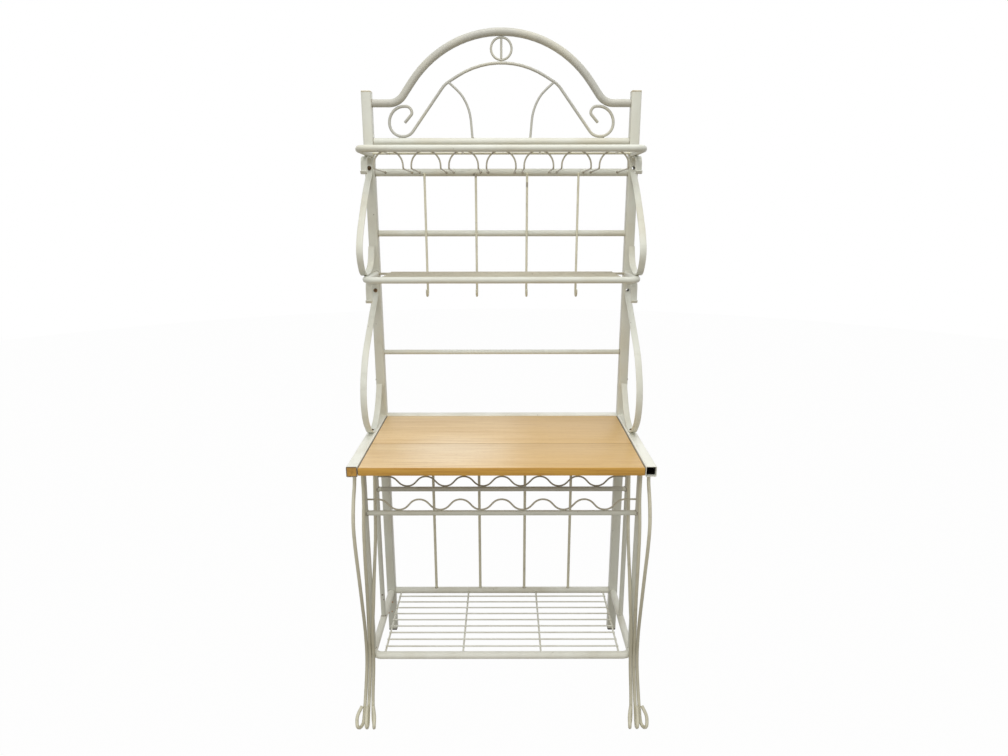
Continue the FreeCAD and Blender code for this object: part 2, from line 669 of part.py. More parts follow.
rod_leg = size("rod_leg")
post_front = size("front_post_setout") + thin / 2 + rod_leg / 2 + weld
corner_reach = size("shelf_bend") + large / 2 + rod_leg / 2 + weld
corner_offset = size("shelf_bend") + size("ankle_shift") - size("leg_pitch")
ankle = size("low_shelf_reach") - size("shelf_bend") + math.sqrt(corner_reach ** 2 - corner_offset ** 2)
claw_front = size("claw_reach") - rod_leg / 2
pitch = size("leg_pitch")
wide_pitch = size("leg_post_pitch")

# A claw is given by offset outward from the post axis, distance behind the claw's front
# and height above the floor.
toe = rod_leg / 2
CLAWS = {
    "outer": [(11.5, 28.0, 13.0), (12.5, 20.0, toe), (17.0, 7.0, toe), (22.0, -2.5, 16.0), (25.5, 13.0, 33.0)],
    "middle": [(0.5, 28.0, 13.0), (0.0, 20.0, toe), (-1.0, 7.0, toe), (-1.0, -2.5, 16.0), (1.5, 13.0, 33.0)],
    "inner": [(-12.0, 28.0, 13.0), (-15.0, 20.0, toe), (-18.0, 7.0, toe), (-20.0, -2.5, 16.0), (-19.5, 13.0, 33.0)],
}
CLAW_TIPS = {"outer": (15.5, 33.0, 46.5), "middle": (2.2, 33.0, 46.5), "inner": (-12.5, 33.0, 46.5)}

# The leg rods by offset outward, distance ahead of the upright axis and share of the
# height from the low shelf to the rail. The outer one hangs on the rail's front end,
# the middle one on the front post, and the inner one crosses from between the posts.
leg_top = size("worktop_reach") - size("leg_top_setback")
mid_post = size("mid_post_setout")
post_span = size("front_post_setout") - mid_post
OUTER = [(0.0, 1.0), (4.0, 0.93), (30.0, 0.856), (45.0, 0.763), (40.0, 0.652), (24.0, 0.504), (8.0, 0.337)]
MIDDLE = [(0.0, 1.0), (0.0, 0.809), (21.4, 0.698), (27.4, 0.522), (25.4, 0.337)]
INNER = [(0.348, 1.0), (0.407, 0.837), (0.504, 0.707), (0.681, 0.559), (0.978, 0.411), (1.178, 0.272)]
leg_height = rail_under - low_z
LEGS = {
    "outer": [(pitch, leg_top + ahead, low_z + share * leg_height) for ahead, share in OUTER],
    "middle": [(0.0, post_front + ahead, low_z + share * leg_height) for ahead, share in MIDDLE],
    "inner": [],
}
for ahead, share in INNER:
    offset = pitch if share > 0.6 else wide_pitch
    LEGS["inner"].append((-offset, mid_post + ahead * post_span, low_z + share * leg_height))
claw_start = ankle + 0.5 * (claw_front - ankle)
shift = size("ankle_shift")
for name, offset, spread in (("outer", shift + pitch, -2.9), ("middle", shift, -3.5), ("inner", shift - pitch, -4.1)):
    LEGS[name].append((offset, ankle, low_z + 0.1426 * leg_height))
    LEGS[name].append((offset, ankle, low_z - rod_leg))
    LEGS[name].append((offset + spread, claw_start, size("claw_height")))
above_rails = Part.makeBox(900, 900, 60, Vector(-450, -600, rail_under))
for side, sign in SIDES:
    for name in ("outer", "middle", "inner"):
        points = []
        for outward, ahead, height in LEGS[name]:
            points.append(Vector(sign * (axis_x + outward), -ahead, height))
        for outward, back, height in CLAWS[name] + [CLAW_TIPS[name]]:
            points.append(Vector(sign * (axis_x + outward), back - claw_front, height))
        points[0].z += rod_leg
        rod = bent_rod(points, even_radii(points), rod_leg).cut(above_rails)
        keep_shape(rod, "leg_%s_rod_%s" % (name, side))

# ---------------------------------------------------------------- bottle rack

bottle_z = size("bottle_height")
for name, setout in (("front", "front_post_setout"), ("rear", "mid_post_setout")):
    start = Vector(-axis_x, -size(setout), bottle_z)
    bar = rod_between(start, start + Vector(2 * axis_x, 0, 0), thin)
    bar = bar.cut(rod_between(start, start + Vector(2 * axis_x, 0, 0), thin - 2 * size("tube_wall")))
    for sign in (-1, 1):
        foot = Vector(sign * axis_x, -size(setout), bottle_z - 20)
        bar = bar.cut(rod_between(foot, foot + Vector(0, 0, 40), thin + 2 * weld))
    keep_shape(bar, "bottle_bar_" + name)

wave = size("wave_wire")
half_pitch = size("wave_pitch") / 2
slope = math.radians(size("wave_slope"))
wave_radius = half_pitch * math.sin(slope) - size("wave_height") * math.cos(slope)
wave_radius = wave_radius / (2 * (1 - math.cos(slope)))
overshoot = wave_radius * (1 / math.cos(slope) - 1)
valley = bottle_z + thin / 2 + wave / 2 + weld
peak = valley + size("wave_height")
wave_end = size("wave_end")
wave_steps = int(size("bottle_count"))
half_points = []
for index in range(wave_steps):
    height = peak + overshoot if index % 2 == 0 else valley - overshoot
    half_points.append((index * half_pitch, height))
last_x = (wave_steps - 1) * half_pitch + (peak - valley + overshoot) / math.tan(slope)
half_points.append((last_x, peak))
half_points.append((wave_end, peak))
for name, setout in (("front", "front_post_setout"), ("rear", "mid_post_setout")):
    points = [Vector(-x_place, -size(setout), height) for x_place, height in reversed(half_points)]
    points += [Vector(x_place, -size(setout), height) for x_place, height in half_points[1:]]
    radii = [wave_radius] * (len(points) - 2)
    keep_shape(bent_rod(points, radii, wave), "bottle_wave_" + name)

# ---------------------------------------------------------------- back of the rack

rods = []
for step in (-1.5, -0.5, 0.5, 1.5):
    foot = Vector(step * size("lower_rod_pitch"), 0, low_z)
    rod = rod_between(foot, Vector(foot.x, 0, rail_under), size("rod_lower"))
    rods.append(rod.cut(rear_outer))
keep_shape(Part.makeCompound(rods), "lower_back_rods")

crossing_tube("back_rail_top", "tube_large", "rail_top_height")
crossing_tube("back_rail_hanger", "tube_large", "rail_hanger_height")
crossing_tube("back_rail_middle", "tube_shelf", "rail_middle_height")
crossing_tube("back_rail_low", "tube_thin", "rail_low_height")

hanger_z = size("rail_hanger_height")
hanger_outer = rod_between(Vector(-axis_x, 0, hanger_z), Vector(axis_x, 0, hanger_z), large + 2 * weld)
upper_rod = size("rod_upper")
rod_y = -(size("tube_shelf") / 2 + upper_rod / 2 + weld)
bend = size("hook_radius")
rods = []
for step in (-1.5, -0.5, 0.5, 1.5):
    x_place = step * size("upper_rod_pitch")
    points = [
        Vector(x_place, rod_y, hanger_z),
        Vector(x_place, rod_y, size("hook_bottom")),
        Vector(x_place, rod_y - 2 * bend, size("hook_bottom")),
        Vector(x_place, rod_y - 2 * bend, size("hook_bottom") + bend + size("hook_tip")),
    ]
    rod = bent_rod(points, [bend, bend], upper_rod)
    rods.append(rod.cut(hanger_outer))
keep_shape(Part.makeCompound(rods), "hook_rods")

# ---------------------------------------------------------------- upper shelves

shelf_tube = size("tube_shelf")
shelf_front = -size("shelf_reach")
rear_wire_y = rod_y - upper_rod / 2 - size("rear_wire") / 2 - weld
arm_x = size("shelf_arm_edge")
SHELVES = [("top_shelf_", size("top_shelf_height")), ("mid_shelf_", size("mid_shelf_height"))]
for name, height in SHELVES:
    points = [
        Vector(-arm_x, -half_upright, height),
        Vector(-arm_x, shelf_front, height),
        Vector(arm_x, shelf_front, height),
        Vector(arm_x, -half_upright, height),
    ]
    tube = bent_tube(points, bends, shelf_tube)
    screw_up = Vector(0, 0, shelf_tube / 2)
    for sign in (-1, 1):
        under = Vector(sign * axis_x, -size("arm_screw_reach"), height)
        tube = tube.cut(rod_between(under - screw_up, under, size("screw_hole")))
        if name == "mid_shelf_":
            seat = Vector(sign * axis_x, -upper_seat_reach, height)
            tube = tube.cut(rod_between(seat, seat + screw_up, size("screw_hole")))
    keep_shape(tube, name + "frame")

    runner_z = height + shelf_tube / 2 - cross - runner / 2
    rear_ends = [Vector(-arm_x, rear_wire_y, runner_z), Vector(arm_x, rear_wire_y, runner_z)]
    bar = rod_between(rear_ends[0], rear_ends[1], size("rear_wire"))
    rear_room = rod_between(rear_ends[0], rear_ends[1], size("rear_wire") + 2 * weld)
    for sign in (-1, 1):
        arm = rod_between(Vector(sign * arm_x, 0, height), Vector(sign * arm_x, -100, height), shelf_tube + 2 * weld)
        bar = bar.cut(arm)
        room = half_upright + weld
        corner = Vector(sign * axis_x - room, -room, height - shelf_tube)
        bar = bar.cut(Part.makeBox(2 * room, 2 * room, 2 * shelf_tube, corner))
    bars = sorted(bar.Solids, key=lambda solid: solid.Volume)
    keep_shape(bars[-1], name + "rear_wire")

    front_tube = rod_between(Vector(-arm_x, shelf_front, height), Vector(arm_x, shelf_front, height), shelf_tube + 2 * weld)
    wires = []
    for x_place in runner_places(size("runner_edge")):
        start = Vector(x_place, rear_wire_y, runner_z)
        wire = rod_between(start, Vector(x_place, shelf_front, runner_z), runner)
        wires.append(wire.cut(front_tube).cut(rear_room))
    keep_shape(Part.makeCompound(wires), name + "runners")

    wires = []
    count = int(size("shelf_wire_count"))
    depth = size("shelf_reach") - shelf_tube / 2 + rear_wire_y
    for index in range(count):
        y_place = rear_wire_y - depth * (index + 0.5) / count
        over = size("runner_edge") + runner / 2
        z_place = runner_z + runner / 2 + cross / 2 + weld
        wires.append(rod_between(Vector(-over, y_place, z_place), Vector(over, y_place, z_place), cross))
    keep_shape(Part.makeCompound(wires), name + "cross_wires")

# ---------------------------------------------------------------- stemware rack

hoop_wire = size("hoop_wire")
top_z = size("top_shelf_height")
hoop_y = shelf_front + shelf_tube / 2 + hoop_wire / 2 + weld
crown = top_z + shelf_tube / 2 - cross - runner - hoop_wire / 2 - weld
hoop_half = size("hoop_width") / 2
hoop_bend = size("hoop_bend")
hoops = []
hoop_count = int(size("hoop_count"))
for index in range(hoop_count):
    middle = (index - (hoop_count - 1) / 2) * size("hoop_pitch")
    points = [
        Vector(middle - hoop_half, 0, hanger_z),
        Vector(middle - hoop_half, hoop_y, hanger_z),
        Vector(middle - hoop_half, hoop_y, crown),
        Vector(middle + hoop_half, hoop_y, crown),
        Vector(middle + hoop_half, hoop_y, hanger_z),
        Vector(middle + hoop_half, 0, hanger_z),
    ]
    arch = min(hoop_half, crown - hanger_z - hoop_bend) - 0.02
    hoop = bent_rod(points, [hoop_bend, arch, arch, hoop_bend], hoop_wire)
    hoops.append(hoop.cut(hanger_outer))
keep_shape(Part.makeCompound(hoops), "stemware_hoops")

# ---------------------------------------------------------------- crest

crest_top = size("crest_height")
crest_foot = size("crest_stub_height")
foot_x = inner_x - size("crest_run")
crest_slope = math.radians(size("crest_slope"))
apex_rise = foot_x * math.tan(crest_slope)
arch_radius = (apex_rise - size("crest_rise")) / (1 / math.cos(crest_slope) - 1)
apex_z = crest_foot + apex_rise
crest_points = [
    Vector(-inner_x, 0, crest_foot),
    Vector(-foot_x, 0, crest_foot),
    Vector(0, 0, apex_z),
    Vector(foot_x, 0, crest_foot),
    Vector(inner_x, 0, crest_foot),
]
crest_bends = [size("crest_fillet"), arch_radius, size("crest_fillet")]
keep_shape(bent_tube(crest_points, crest_bends, large), "crest_tube")

scroll = size("scroll_wire")
rail_top = size("rail_top_height") + large / 2
scroll_floor = rail_top + scroll / 2 + weld
scroll_top = size("scroll_top_height")
brow_radius = 0.66 * inner_x
brow_angle = math.radians(30.5)
brow_x = brow_radius * math.sin(brow_angle)
brow_z = scroll_top - brow_radius * (1 - math.cos(brow_angle))
brow_apex = brow_z + brow_x * math.tan(brow_angle)
shoulder = 0.434 * inner_x
shoulder_z = brow_apex - shoulder * math.tan(brow_angle)
curl = size("scroll_curl")
SCROLL = [
    (inner_x - 80.9, scroll_floor + 0.452 * curl),
    (inner_x - 100.0, scroll_floor + 0.747 * curl),
    (inner_x - 100.0, scroll_floor + curl),
    (inner_x - 42.0, scroll_floor + curl),
    (inner_x - 42.0, scroll_floor),
    (inner_x - 92.0, scroll_floor),
    (shoulder, shoulder_z),
]
scroll_points = [Vector(-x_place, 0, height) for x_place, height in SCROLL]
scroll_points.append(Vector(0, 0, brow_apex))
scroll_points += [Vector(x_place, 0, height) for x_place, height in reversed(SCROLL)]
scroll_bends = [8.0, 16.0, 39.0, 31.0, 30.0, 60.0, brow_radius, 60.0, 30.0, 31.0, 39.0, 16.0, 8.0]
scroll_bends = fitted_radii(scroll_points, scroll_bends)
scroll_solid = bent_rod(scroll_points, scroll_bends, scroll)
keep_shape(scroll_solid, "crest_scroll_wire")
scroll_room = bent_rod(scroll_points, scroll_bends, scroll + 2 * weld)

ring_wire = size("ring_wire")
ring_low = scroll_top + scroll / 2 + weld
ring_high = crest_top - large / 2 - weld
ring_radius = (ring_high - ring_low - ring_wire) / 2
ring_z = (ring_low + ring_high) / 2
ring_start = Vector(ring_radius, 0, ring_z)
ring_path = Part.Wire([Part.LineSegment(ring_start, ring_start + Vector(0, 0, 1)).toShape()])
ring_section = Part.Face(round_profile(ring_path, ring_wire, 8))
ring = ring_section.revolve(Vector(0, 0, ring_z), Vector(0, 1, 0), 360)
keep_shape(ring, "crest_ring")
bar_half = ring_radius - ring_wire / 2 - weld
keep_shape(
    rod_between(Vector(0, 0, ring_z - bar_half), Vector(0, 0, ring_z + bar_half), ring_wire),
    "crest_ring_bar",
)

join_x = shoulder - 9.0
join_z = brow_apex - join_x * math.tan(brow_angle)
side_foot = size("side_wire_foot")
side_rail = size("rail_top_height")
side_points = [Vector(-join_x, 0, join_z + scroll)]
for share_x, share_z in ((0.397, 0.78), (0.095, 0.5), (0.0, 0.0)):
    x_place = side_foot + share_x * (join_x - side_foot)
    side_points.append(Vector(-x_place, 0, side_rail + share_z * (join_z - side_rail)))
rail_outer = rod_between(
    Vector(-axis_x, 0, size("rail_top_height")),
    Vector(axis_x, 0, size("rail_top_height")),
    large + 2 * weld,
)
side_wires = []
for points in (side_points, mirrored(side_points)):
    wire = bent_rod(points, even_radii(points), size("side_wire"))
    parts = wire.cut(scroll_room).cut(rail_outer).Solids
    side_wires.append(sorted(parts, key=lambda solid: solid.Volume)[-1])
keep_shape(Part.makeCompound(side_wires), "crest_side_wires")

# ---------------------------------------------------------------- brackets

strap = size("strap_thickness")
half_strap = strap / 2 + weld


def bracket(under_arm, hook, hook_length, bolt_z, belly, seat, tail):
    """Route of a strap as distance ahead of the upright's face and height.

    The belly is given ahead of the seat, the tail ahead of the upright's face, and the
    height of both as a share of the stretch from the seat up to the strap's flat back.
    """
    top = under_arm - half_strap
    low = under_arm - hook_length
    flat_end = bolt_z - size("bolt_head") / 2 - 6.0
    rise = flat_end - seat[1]
    lip = hook + size("lip_reach")
    route = [(lip + 3.5, low + 6.0), (lip, low), (hook, low), (hook, top)]
    route += [(half_strap, top), (half_strap, flat_end)]
    route += [(seat[0] + ahead, seat[1] + share * rise) for ahead, share in belly]
    route += [(seat[0] + 26.0, seat[1] + half_strap), (seat[0] - 26.0, seat[1] + half_strap)]
    route += [(ahead, seat[1] + share * rise) for ahead, share in tail]
    return route


face = half_upright
upper_seat = (upper_seat_reach - face, size("mid_shelf_height") + shelf_tube / 2)
lower_seat = (lower_seat_reach - face, size("worktop_height"))
top_arm = size("top_shelf_height") - shelf_tube / 2
mid_arm = size("mid_shelf_height") - shelf_tube / 2
UPPER_BELLY = [(-62.5, 0.818), (29.5, 0.423), (55.5, 0.224)]
LOWER_BELLY = [(-87.5, 0.899), (37.5, 0.612), (74.5, 0.43), (83.5, 0.284), (70.5, 0.138)]
UPPER_TAIL = [(52.0, 0.075), (36.0, 0.16), (28.0, 0.263)]
LOWER_TAIL = [(66.0, 0.075), (34.0, 0.19), (15.0, 0.28)]
upper_bolt = size("upper_bolt_height")
lower_bolt = size("lower_bolt_height")
upper_hook = size("upper_hook_reach") - face
lower_hook = size("lower_hook_reach") - face
upper_depth = size("upper_hook_length")
lower_depth = size("lower_hook_length")
upper_route = bracket(top_arm, upper_hook, upper_depth, upper_bolt, UPPER_BELLY, upper_seat, UPPER_TAIL)
lower_route = bracket(mid_arm, lower_hook, lower_depth, lower_bolt, LOWER_BELLY, lower_seat, LOWER_TAIL)
BRACKETS = [
    ("upper_bracket_", upper_route, upper_bolt, top_arm, upper_seat),
    ("lower_bracket_", lower_route, lower_bolt, mid_arm, lower_seat),
]
frame_screws = []
bolts = []
for name, route, bolt_z, under_arm, seat in BRACKETS:
    for side, sign in SIDES:
        points = [Vector(sign * axis_x, -face - ahead, height) for ahead, height in route]
        radii = even_radii(points)
        wanted = [size("lip_bend"), size("lip_bend"), 20.0, 18.0, 13.0]
        for index, radius in enumerate(wanted):
            radii[index] = min(radii[index], radius)
        path = bent_path(points, radii)
        start = points[0]
        run = (points[1] - points[0]).normalize()
        across = Vector(size("strap_width") / 2, 0, 0)
        thick = run.cross(Vector(1, 0, 0)).normalize() * (strap / 2)
        corners = [start + across + thick, start - across + thick]
        corners += [start - across - thick, start + across - thick]
        profile = Part.makePolygon(corners + [corners[0]])
        shape = swept(path, profile)
        bolt_start = Vector(sign * axis_x, -face - 10, bolt_z)
        shape = shape.cut(rod_between(bolt_start, bolt_start + Vector(0, 12, 0), size("strap_hole")))
        under = Vector(sign * axis_x, -size("arm_screw_reach"), under_arm - strap - 2 * weld)
        shape = shape.cut(rod_between(under - Vector(0, 0, 5), under + Vector(0, 0, 8), size("screw_hole")))
        rest = Vector(sign * axis_x, -face - seat[0], seat[1] + strap + 2 * weld)
        shape = shape.cut(rod_between(rest - Vector(0, 0, 8), rest + Vector(0, 0, 5), size("screw_hole")))
        keep_shape(shape, name + side)
        frame_screws.append(turned(screw, HEAD_DOWN, under))
        frame_screws.append(turned(screw, UPRIGHT, rest))
    bolt_length = 2 * half_upright + strap + size("nut_height") - 2.0
    bolt = pan_screw(size("bolt_size"), bolt_length, size("bolt_head"), size("bolt_head_height"))
    bolt_seat = Vector(-axis_x, -face - strap - 2 * weld, bolt_z)
    bolts.append(turned(bolt, HEAD_FRONT, bolt_seat))
    nut = Part.makeCylinder(size("nut_size") / 2, size("nut_height") * 0.6)
    dome_base = Vector(0, 0, size("nut_height") * 0.6)
    nut = nut.fuse(Part.makeCone(size("nut_size") / 2, size("nut_size") / 4, size("nut_height") * 0.4, dome_base))
    hole = Part.makeCylinder(size("bolt_size") / 2 + weld, size("nut_height") - 1.5)
    nut = nut.cut(hole)
    TO_BACK = FreeCAD.Rotation(Vector(1, 0, 0), -90)
    bolts.append(turned(nut, TO_BACK, Vector(-axis_x, half_upright, bolt_z)))

for side, sign in SIDES:
    head_out = FreeCAD.Rotation(Vector(0, 1, 0), 90 * sign)
    for step in (-1, 1):
        seat_point = Vector(sign * (axis_x + half_upright), 0, split + step * size("spigot_screw_drop"))
        frame_screws.append(turned(screw, head_out, seat_point))
keep_shape(Part.makeCompound(frame_screws), "frame_screws")
keep_shape(Part.makeCompound(bolts), "bracket_bolts")

# ---------------------------------------------------------------- check and write

doc.recompute()
for item in doc.Objects:
    state = list(item.State)
    if "Invalid" in state or "Error" in state:
        raise ValueError("%s has state %s" % (item.Label, state))
labels = [item.Label for item in pieces]
if len(set(labels)) != len(labels):
    raise ValueError("two pieces share a name")
for item in pieces:
    if item.Shape.isNull() or not item.Shape.isValid():
        raise ValueError("%s has no valid shape" % item.Label)

os.makedirs("parts", exist_ok=True)
for item in pieces:
    item.Shape.exportStep("parts/%s.step" % item.Label)
print("%d pieces written" % len(pieces))
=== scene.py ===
"""Looks of a bakers rack: its painted tubes, wires and straps, its oak worktop and its
fittings, modelled and finished on the rack's fixed frame."""

import json
import math
from collections import namedtuple
from contextlib import contextmanager

import bmesh
import bpy
from mathutils import Matrix, Vector, noise


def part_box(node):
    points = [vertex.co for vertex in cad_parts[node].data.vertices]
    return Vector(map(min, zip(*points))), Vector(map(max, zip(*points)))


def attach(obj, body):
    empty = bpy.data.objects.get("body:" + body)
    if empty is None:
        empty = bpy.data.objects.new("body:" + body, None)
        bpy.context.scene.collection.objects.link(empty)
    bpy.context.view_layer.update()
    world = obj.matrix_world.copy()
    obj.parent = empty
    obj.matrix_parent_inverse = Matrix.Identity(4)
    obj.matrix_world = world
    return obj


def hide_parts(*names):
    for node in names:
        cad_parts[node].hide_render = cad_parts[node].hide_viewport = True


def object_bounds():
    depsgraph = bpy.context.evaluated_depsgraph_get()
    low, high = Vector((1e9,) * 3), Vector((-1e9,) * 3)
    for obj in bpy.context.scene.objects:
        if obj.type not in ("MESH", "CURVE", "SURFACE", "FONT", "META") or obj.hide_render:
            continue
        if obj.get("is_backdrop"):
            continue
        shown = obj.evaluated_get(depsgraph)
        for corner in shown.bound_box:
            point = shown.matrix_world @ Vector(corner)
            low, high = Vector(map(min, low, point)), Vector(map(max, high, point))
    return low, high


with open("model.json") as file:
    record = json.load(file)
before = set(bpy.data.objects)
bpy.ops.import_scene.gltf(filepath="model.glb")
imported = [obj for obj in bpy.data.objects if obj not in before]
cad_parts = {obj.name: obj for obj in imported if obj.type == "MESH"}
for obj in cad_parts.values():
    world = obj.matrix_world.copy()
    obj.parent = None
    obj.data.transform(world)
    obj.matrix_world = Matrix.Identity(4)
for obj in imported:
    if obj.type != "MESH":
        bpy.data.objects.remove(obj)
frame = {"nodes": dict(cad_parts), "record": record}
FRAME_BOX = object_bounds()

bl_info = {
    "name": "Bakers Rack Finish",
    "version": (1, 0, 0),
    "blender": (4, 5, 0),
    "location": "3D Viewport > Sidebar > Bakers Rack",
    "description": "Models the tubes, wires, straps, planks and fittings of a bakers rack",
    "category": "Object",
}

# ---- places on the frame

SLOTS = {part["node"]: part["material_slot"] for part in frame["record"]["subparts"]}


def middle(node):
    low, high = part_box(node)
    return (low + high) / 2


def extent(node):
    low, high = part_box(node)
    return high - low


UPRIGHT = extent("lower_upright_left").x
AXIS_X = -middle("lower_upright_left").x
AXIS_Y = middle("lower_upright_left").y
FACE = UPRIGHT / 2
INNER_X = AXIS_X - FACE
SPLIT_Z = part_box("upper_upright_left")[0].z
UPRIGHT_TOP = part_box("upper_upright_left")[1].z
RAIL_UNDER, RAIL_TOP = (corner.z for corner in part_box("worktop_side_rail_left"))
RAIL_Z = (RAIL_TOP + RAIL_UNDER) / 2
RAIL_FRONT = AXIS_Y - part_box("worktop_side_rail_left")[0].y
LOW_SHELF_Z = middle("low_shelf_frame").z
TOP_SHELF_Z = middle("top_shelf_frame").z
MID_SHELF_Z = middle("mid_shelf_frame").z
BOLT_HEIGHTS = (MID_SHELF_Z - 0.043, TOP_SHELF_Z - 0.034)
SIGNS = (-1, 1)
SIDES = tuple(zip(("left", "right"), SIGNS))
UP, RIGHT, BACK = Vector((0, 0, 1)), Vector((1, 0, 0)), Vector((0, 1, 0))


def spot(x_place, ahead, height):
    """Point given by its distance ahead of the uprights' axis."""
    return Vector((x_place, AXIS_Y - ahead, height))


def places_across(node, diameter, count=4, axis=0):
    """Middles of the equal rods that share out the width of their node."""
    low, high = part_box(node)
    first, last = low[axis] + diameter / 2, high[axis] - diameter / 2
    return [first + (last - first) * index / (count - 1) for index in range(count)]


def srgb(red, green, blue):
    """Scene colour of an everyday 0 to 255 colour."""
    levels = [level / 255 for level in (red, green, blue)]
    return tuple(
        level / 12.92 if level <= 0.04045 else ((level + 0.055) / 1.055) ** 2.4
        for level in levels)


# ---- what a user would change


def length(name, description, default, least):
    return bpy.props.FloatProperty(
        name=name, description=description, default=default, min=least, unit="LENGTH")


def tint(name, description, *levels):
    return bpy.props.FloatVectorProperty(
        name=name, description=description, default=srgb(*levels), min=0, max=1,
        subtype="COLOR")


class RackSizes(bpy.types.PropertyGroup):
    """Sizes of the stock that the rack is bent and welded from."""

    square_corner: length(
        "Square tube corner", "Rounding of the square tube's corners", 0.0026, 0.0002)
    square_wall: length("Square tube wall", "Wall of the square tube", 0.0015, 0.0005)
    large_tube: length(
        "Large tube", "Diameter of the crest, low shelf and upper back rails",
        extent("back_rail_top").z, 0.004)
    shelf_tube: length(
        "Shelf tube", "Diameter of the upper shelves' tube", extent("back_rail_middle").z, 0.004)
    thin_tube: length(
        "Thin tube", "Diameter of the posts and bottle bars", extent("back_rail_low").z, 0.004)
    shelf_bend: length("Shelf bend", "Bend radius of the shelf tubes' corners", 0.024, 0.01)
    leg_rod: length("Leg rod", "Diameter of the leg rods", 0.0085, 0.002)
    strap_width: length(
        "Strap width", "Width of the bracket straps", extent("upper_bracket_left").x, 0.004)
    strap_thickness: length(
        "Strap thickness", "Thickness of the bracket straps", 0.003, 0.001)
    weld_bead: length(
        "Weld bead", "Half thickness of the weld beads at the joints", 0.0013, 0.0002)
    plank_edge: length("Plank edge", "Rounding of the worktop's front edge", 0.0024, 0.0002)
    screw_head: length("Screw head", "Diameter of the screw heads", 0.0086, 0.002)


class RackColours(bpy.types.PropertyGroup):
    """Colours of the rack's finishes."""

    paint: tint("Paint", "Ivory powder coat of tubes and straps", 219, 220, 208)
    wire_paint: tint("Wire paint", "Thinner, duller coat of rods and wires", 219, 215, 191)
    # Painted light: a brighter copy of the ivory paint, for more light on the low shelf and the
    # worktop rails.
    painted_light_paint: tint(
        "Painted light paint", "Brighter coat of the low shelf and worktop rails", 238, 238, 226)
    # Painted shade: the crest's coat is the ivory paint darkened and greyed, to hold down the
    # light on the crest.
    shaded_crest_paint: tint("Shaded crest paint", "Greyed coat of the crest", 188, 187, 177)
    # Greyed paint: a darker, greyer copy of the wire paint for the hoops, the front wave and the
    # middle shelf's wires, partly dirt and partly painted shade on the thin wires.
    greyed_paint: tint("Greyed paint", "Handled wires that have greyed", 186, 180, 160)
    yellowed: tint("Yellowed paint", "Paint that has yellowed with age", 207, 202, 180)
    grime: tint("Grime", "Dust and grease in corners", 126, 117, 92)
    rust: tint("Rust", "Rust of the bare spigots", 146, 86, 40)
    oak_light: tint("Light oak", "Early wood of the planks", 233, 204, 155)
    oak_dark: tint("Dark oak", "Late wood of the planks", 208, 173, 119)
    oak_edge: tint("Plank edge", "Lacquered front edge of the planks", 212, 164, 74)
    end_plug: tint("End plug", "Plug in the left rail's end", 206, 158, 78)
    cap: tint("Caps", "Plastic caps on the uprights", 206, 199, 176)
    glide: tint("Glides", "Plastic glides under the rear feet", 58, 48, 38)
    screw: tint("Screws", "Bronzed screws and bolts", 70, 54, 34)
    bare_steel: tint("Bare steel", "Unpainted spigots inside the uprights", 150, 150, 148)


# ---- finishes


def maths(operation, swapped=False):
    """A socket's method for one operation, or for its reflected form."""
    def method(self, other):
        pair = (other, self) if swapped else (self, other)
        return self.shading.maths(operation, *pair)
    return method


class Socket:
    """Output of a node, so that shader maths reads as a Python expression."""

    def __init__(self, shading, output):
        self.shading, self.output = shading, output

    __add__, __radd__ = maths("ADD"), maths("ADD", True)
    __sub__, __rsub__ = maths("SUBTRACT"), maths("SUBTRACT", True)
    __mul__, __rmul__ = maths("MULTIPLY"), maths("MULTIPLY", True)


class Shading:
    """A node tree and the one way in which a node is added to it."""

    def __init__(self, owner, empty=False):
        owner.use_nodes = True
        self.tree = owner.node_tree
        if empty:
            self.tree.nodes.clear()

    def node(self, kind, settings=None, sockets=None, output=0):
        made = self.tree.nodes.new(kind)
        for name, value in (settings or {}).items():
            setattr(made, name, value)
        for key, value in (sockets or {}).items():
            if isinstance(value, Socket):
                self.tree.links.new(value.output, made.inputs[key])
            else:
                made.inputs[key].default_value = value
        return Socket(self, made.outputs[output]) if made.outputs else None

    def maths(self, operation, first, second=0.0):
        return self.node("ShaderNodeMath", {"operation": operation}, {0: first, 1: second})

    def seen(self):
        """1 for what the camera, a reflection or a clear part shows."""
        camera, glossy, clear = (
            self.node("ShaderNodeLightPath", output="Is %s Ray" % kind)
            for kind in ("Camera", "Glossy", "Transmission"))
        return self.maths("MAXIMUM", self.maths("MAXIMUM", camera, glossy), clear)


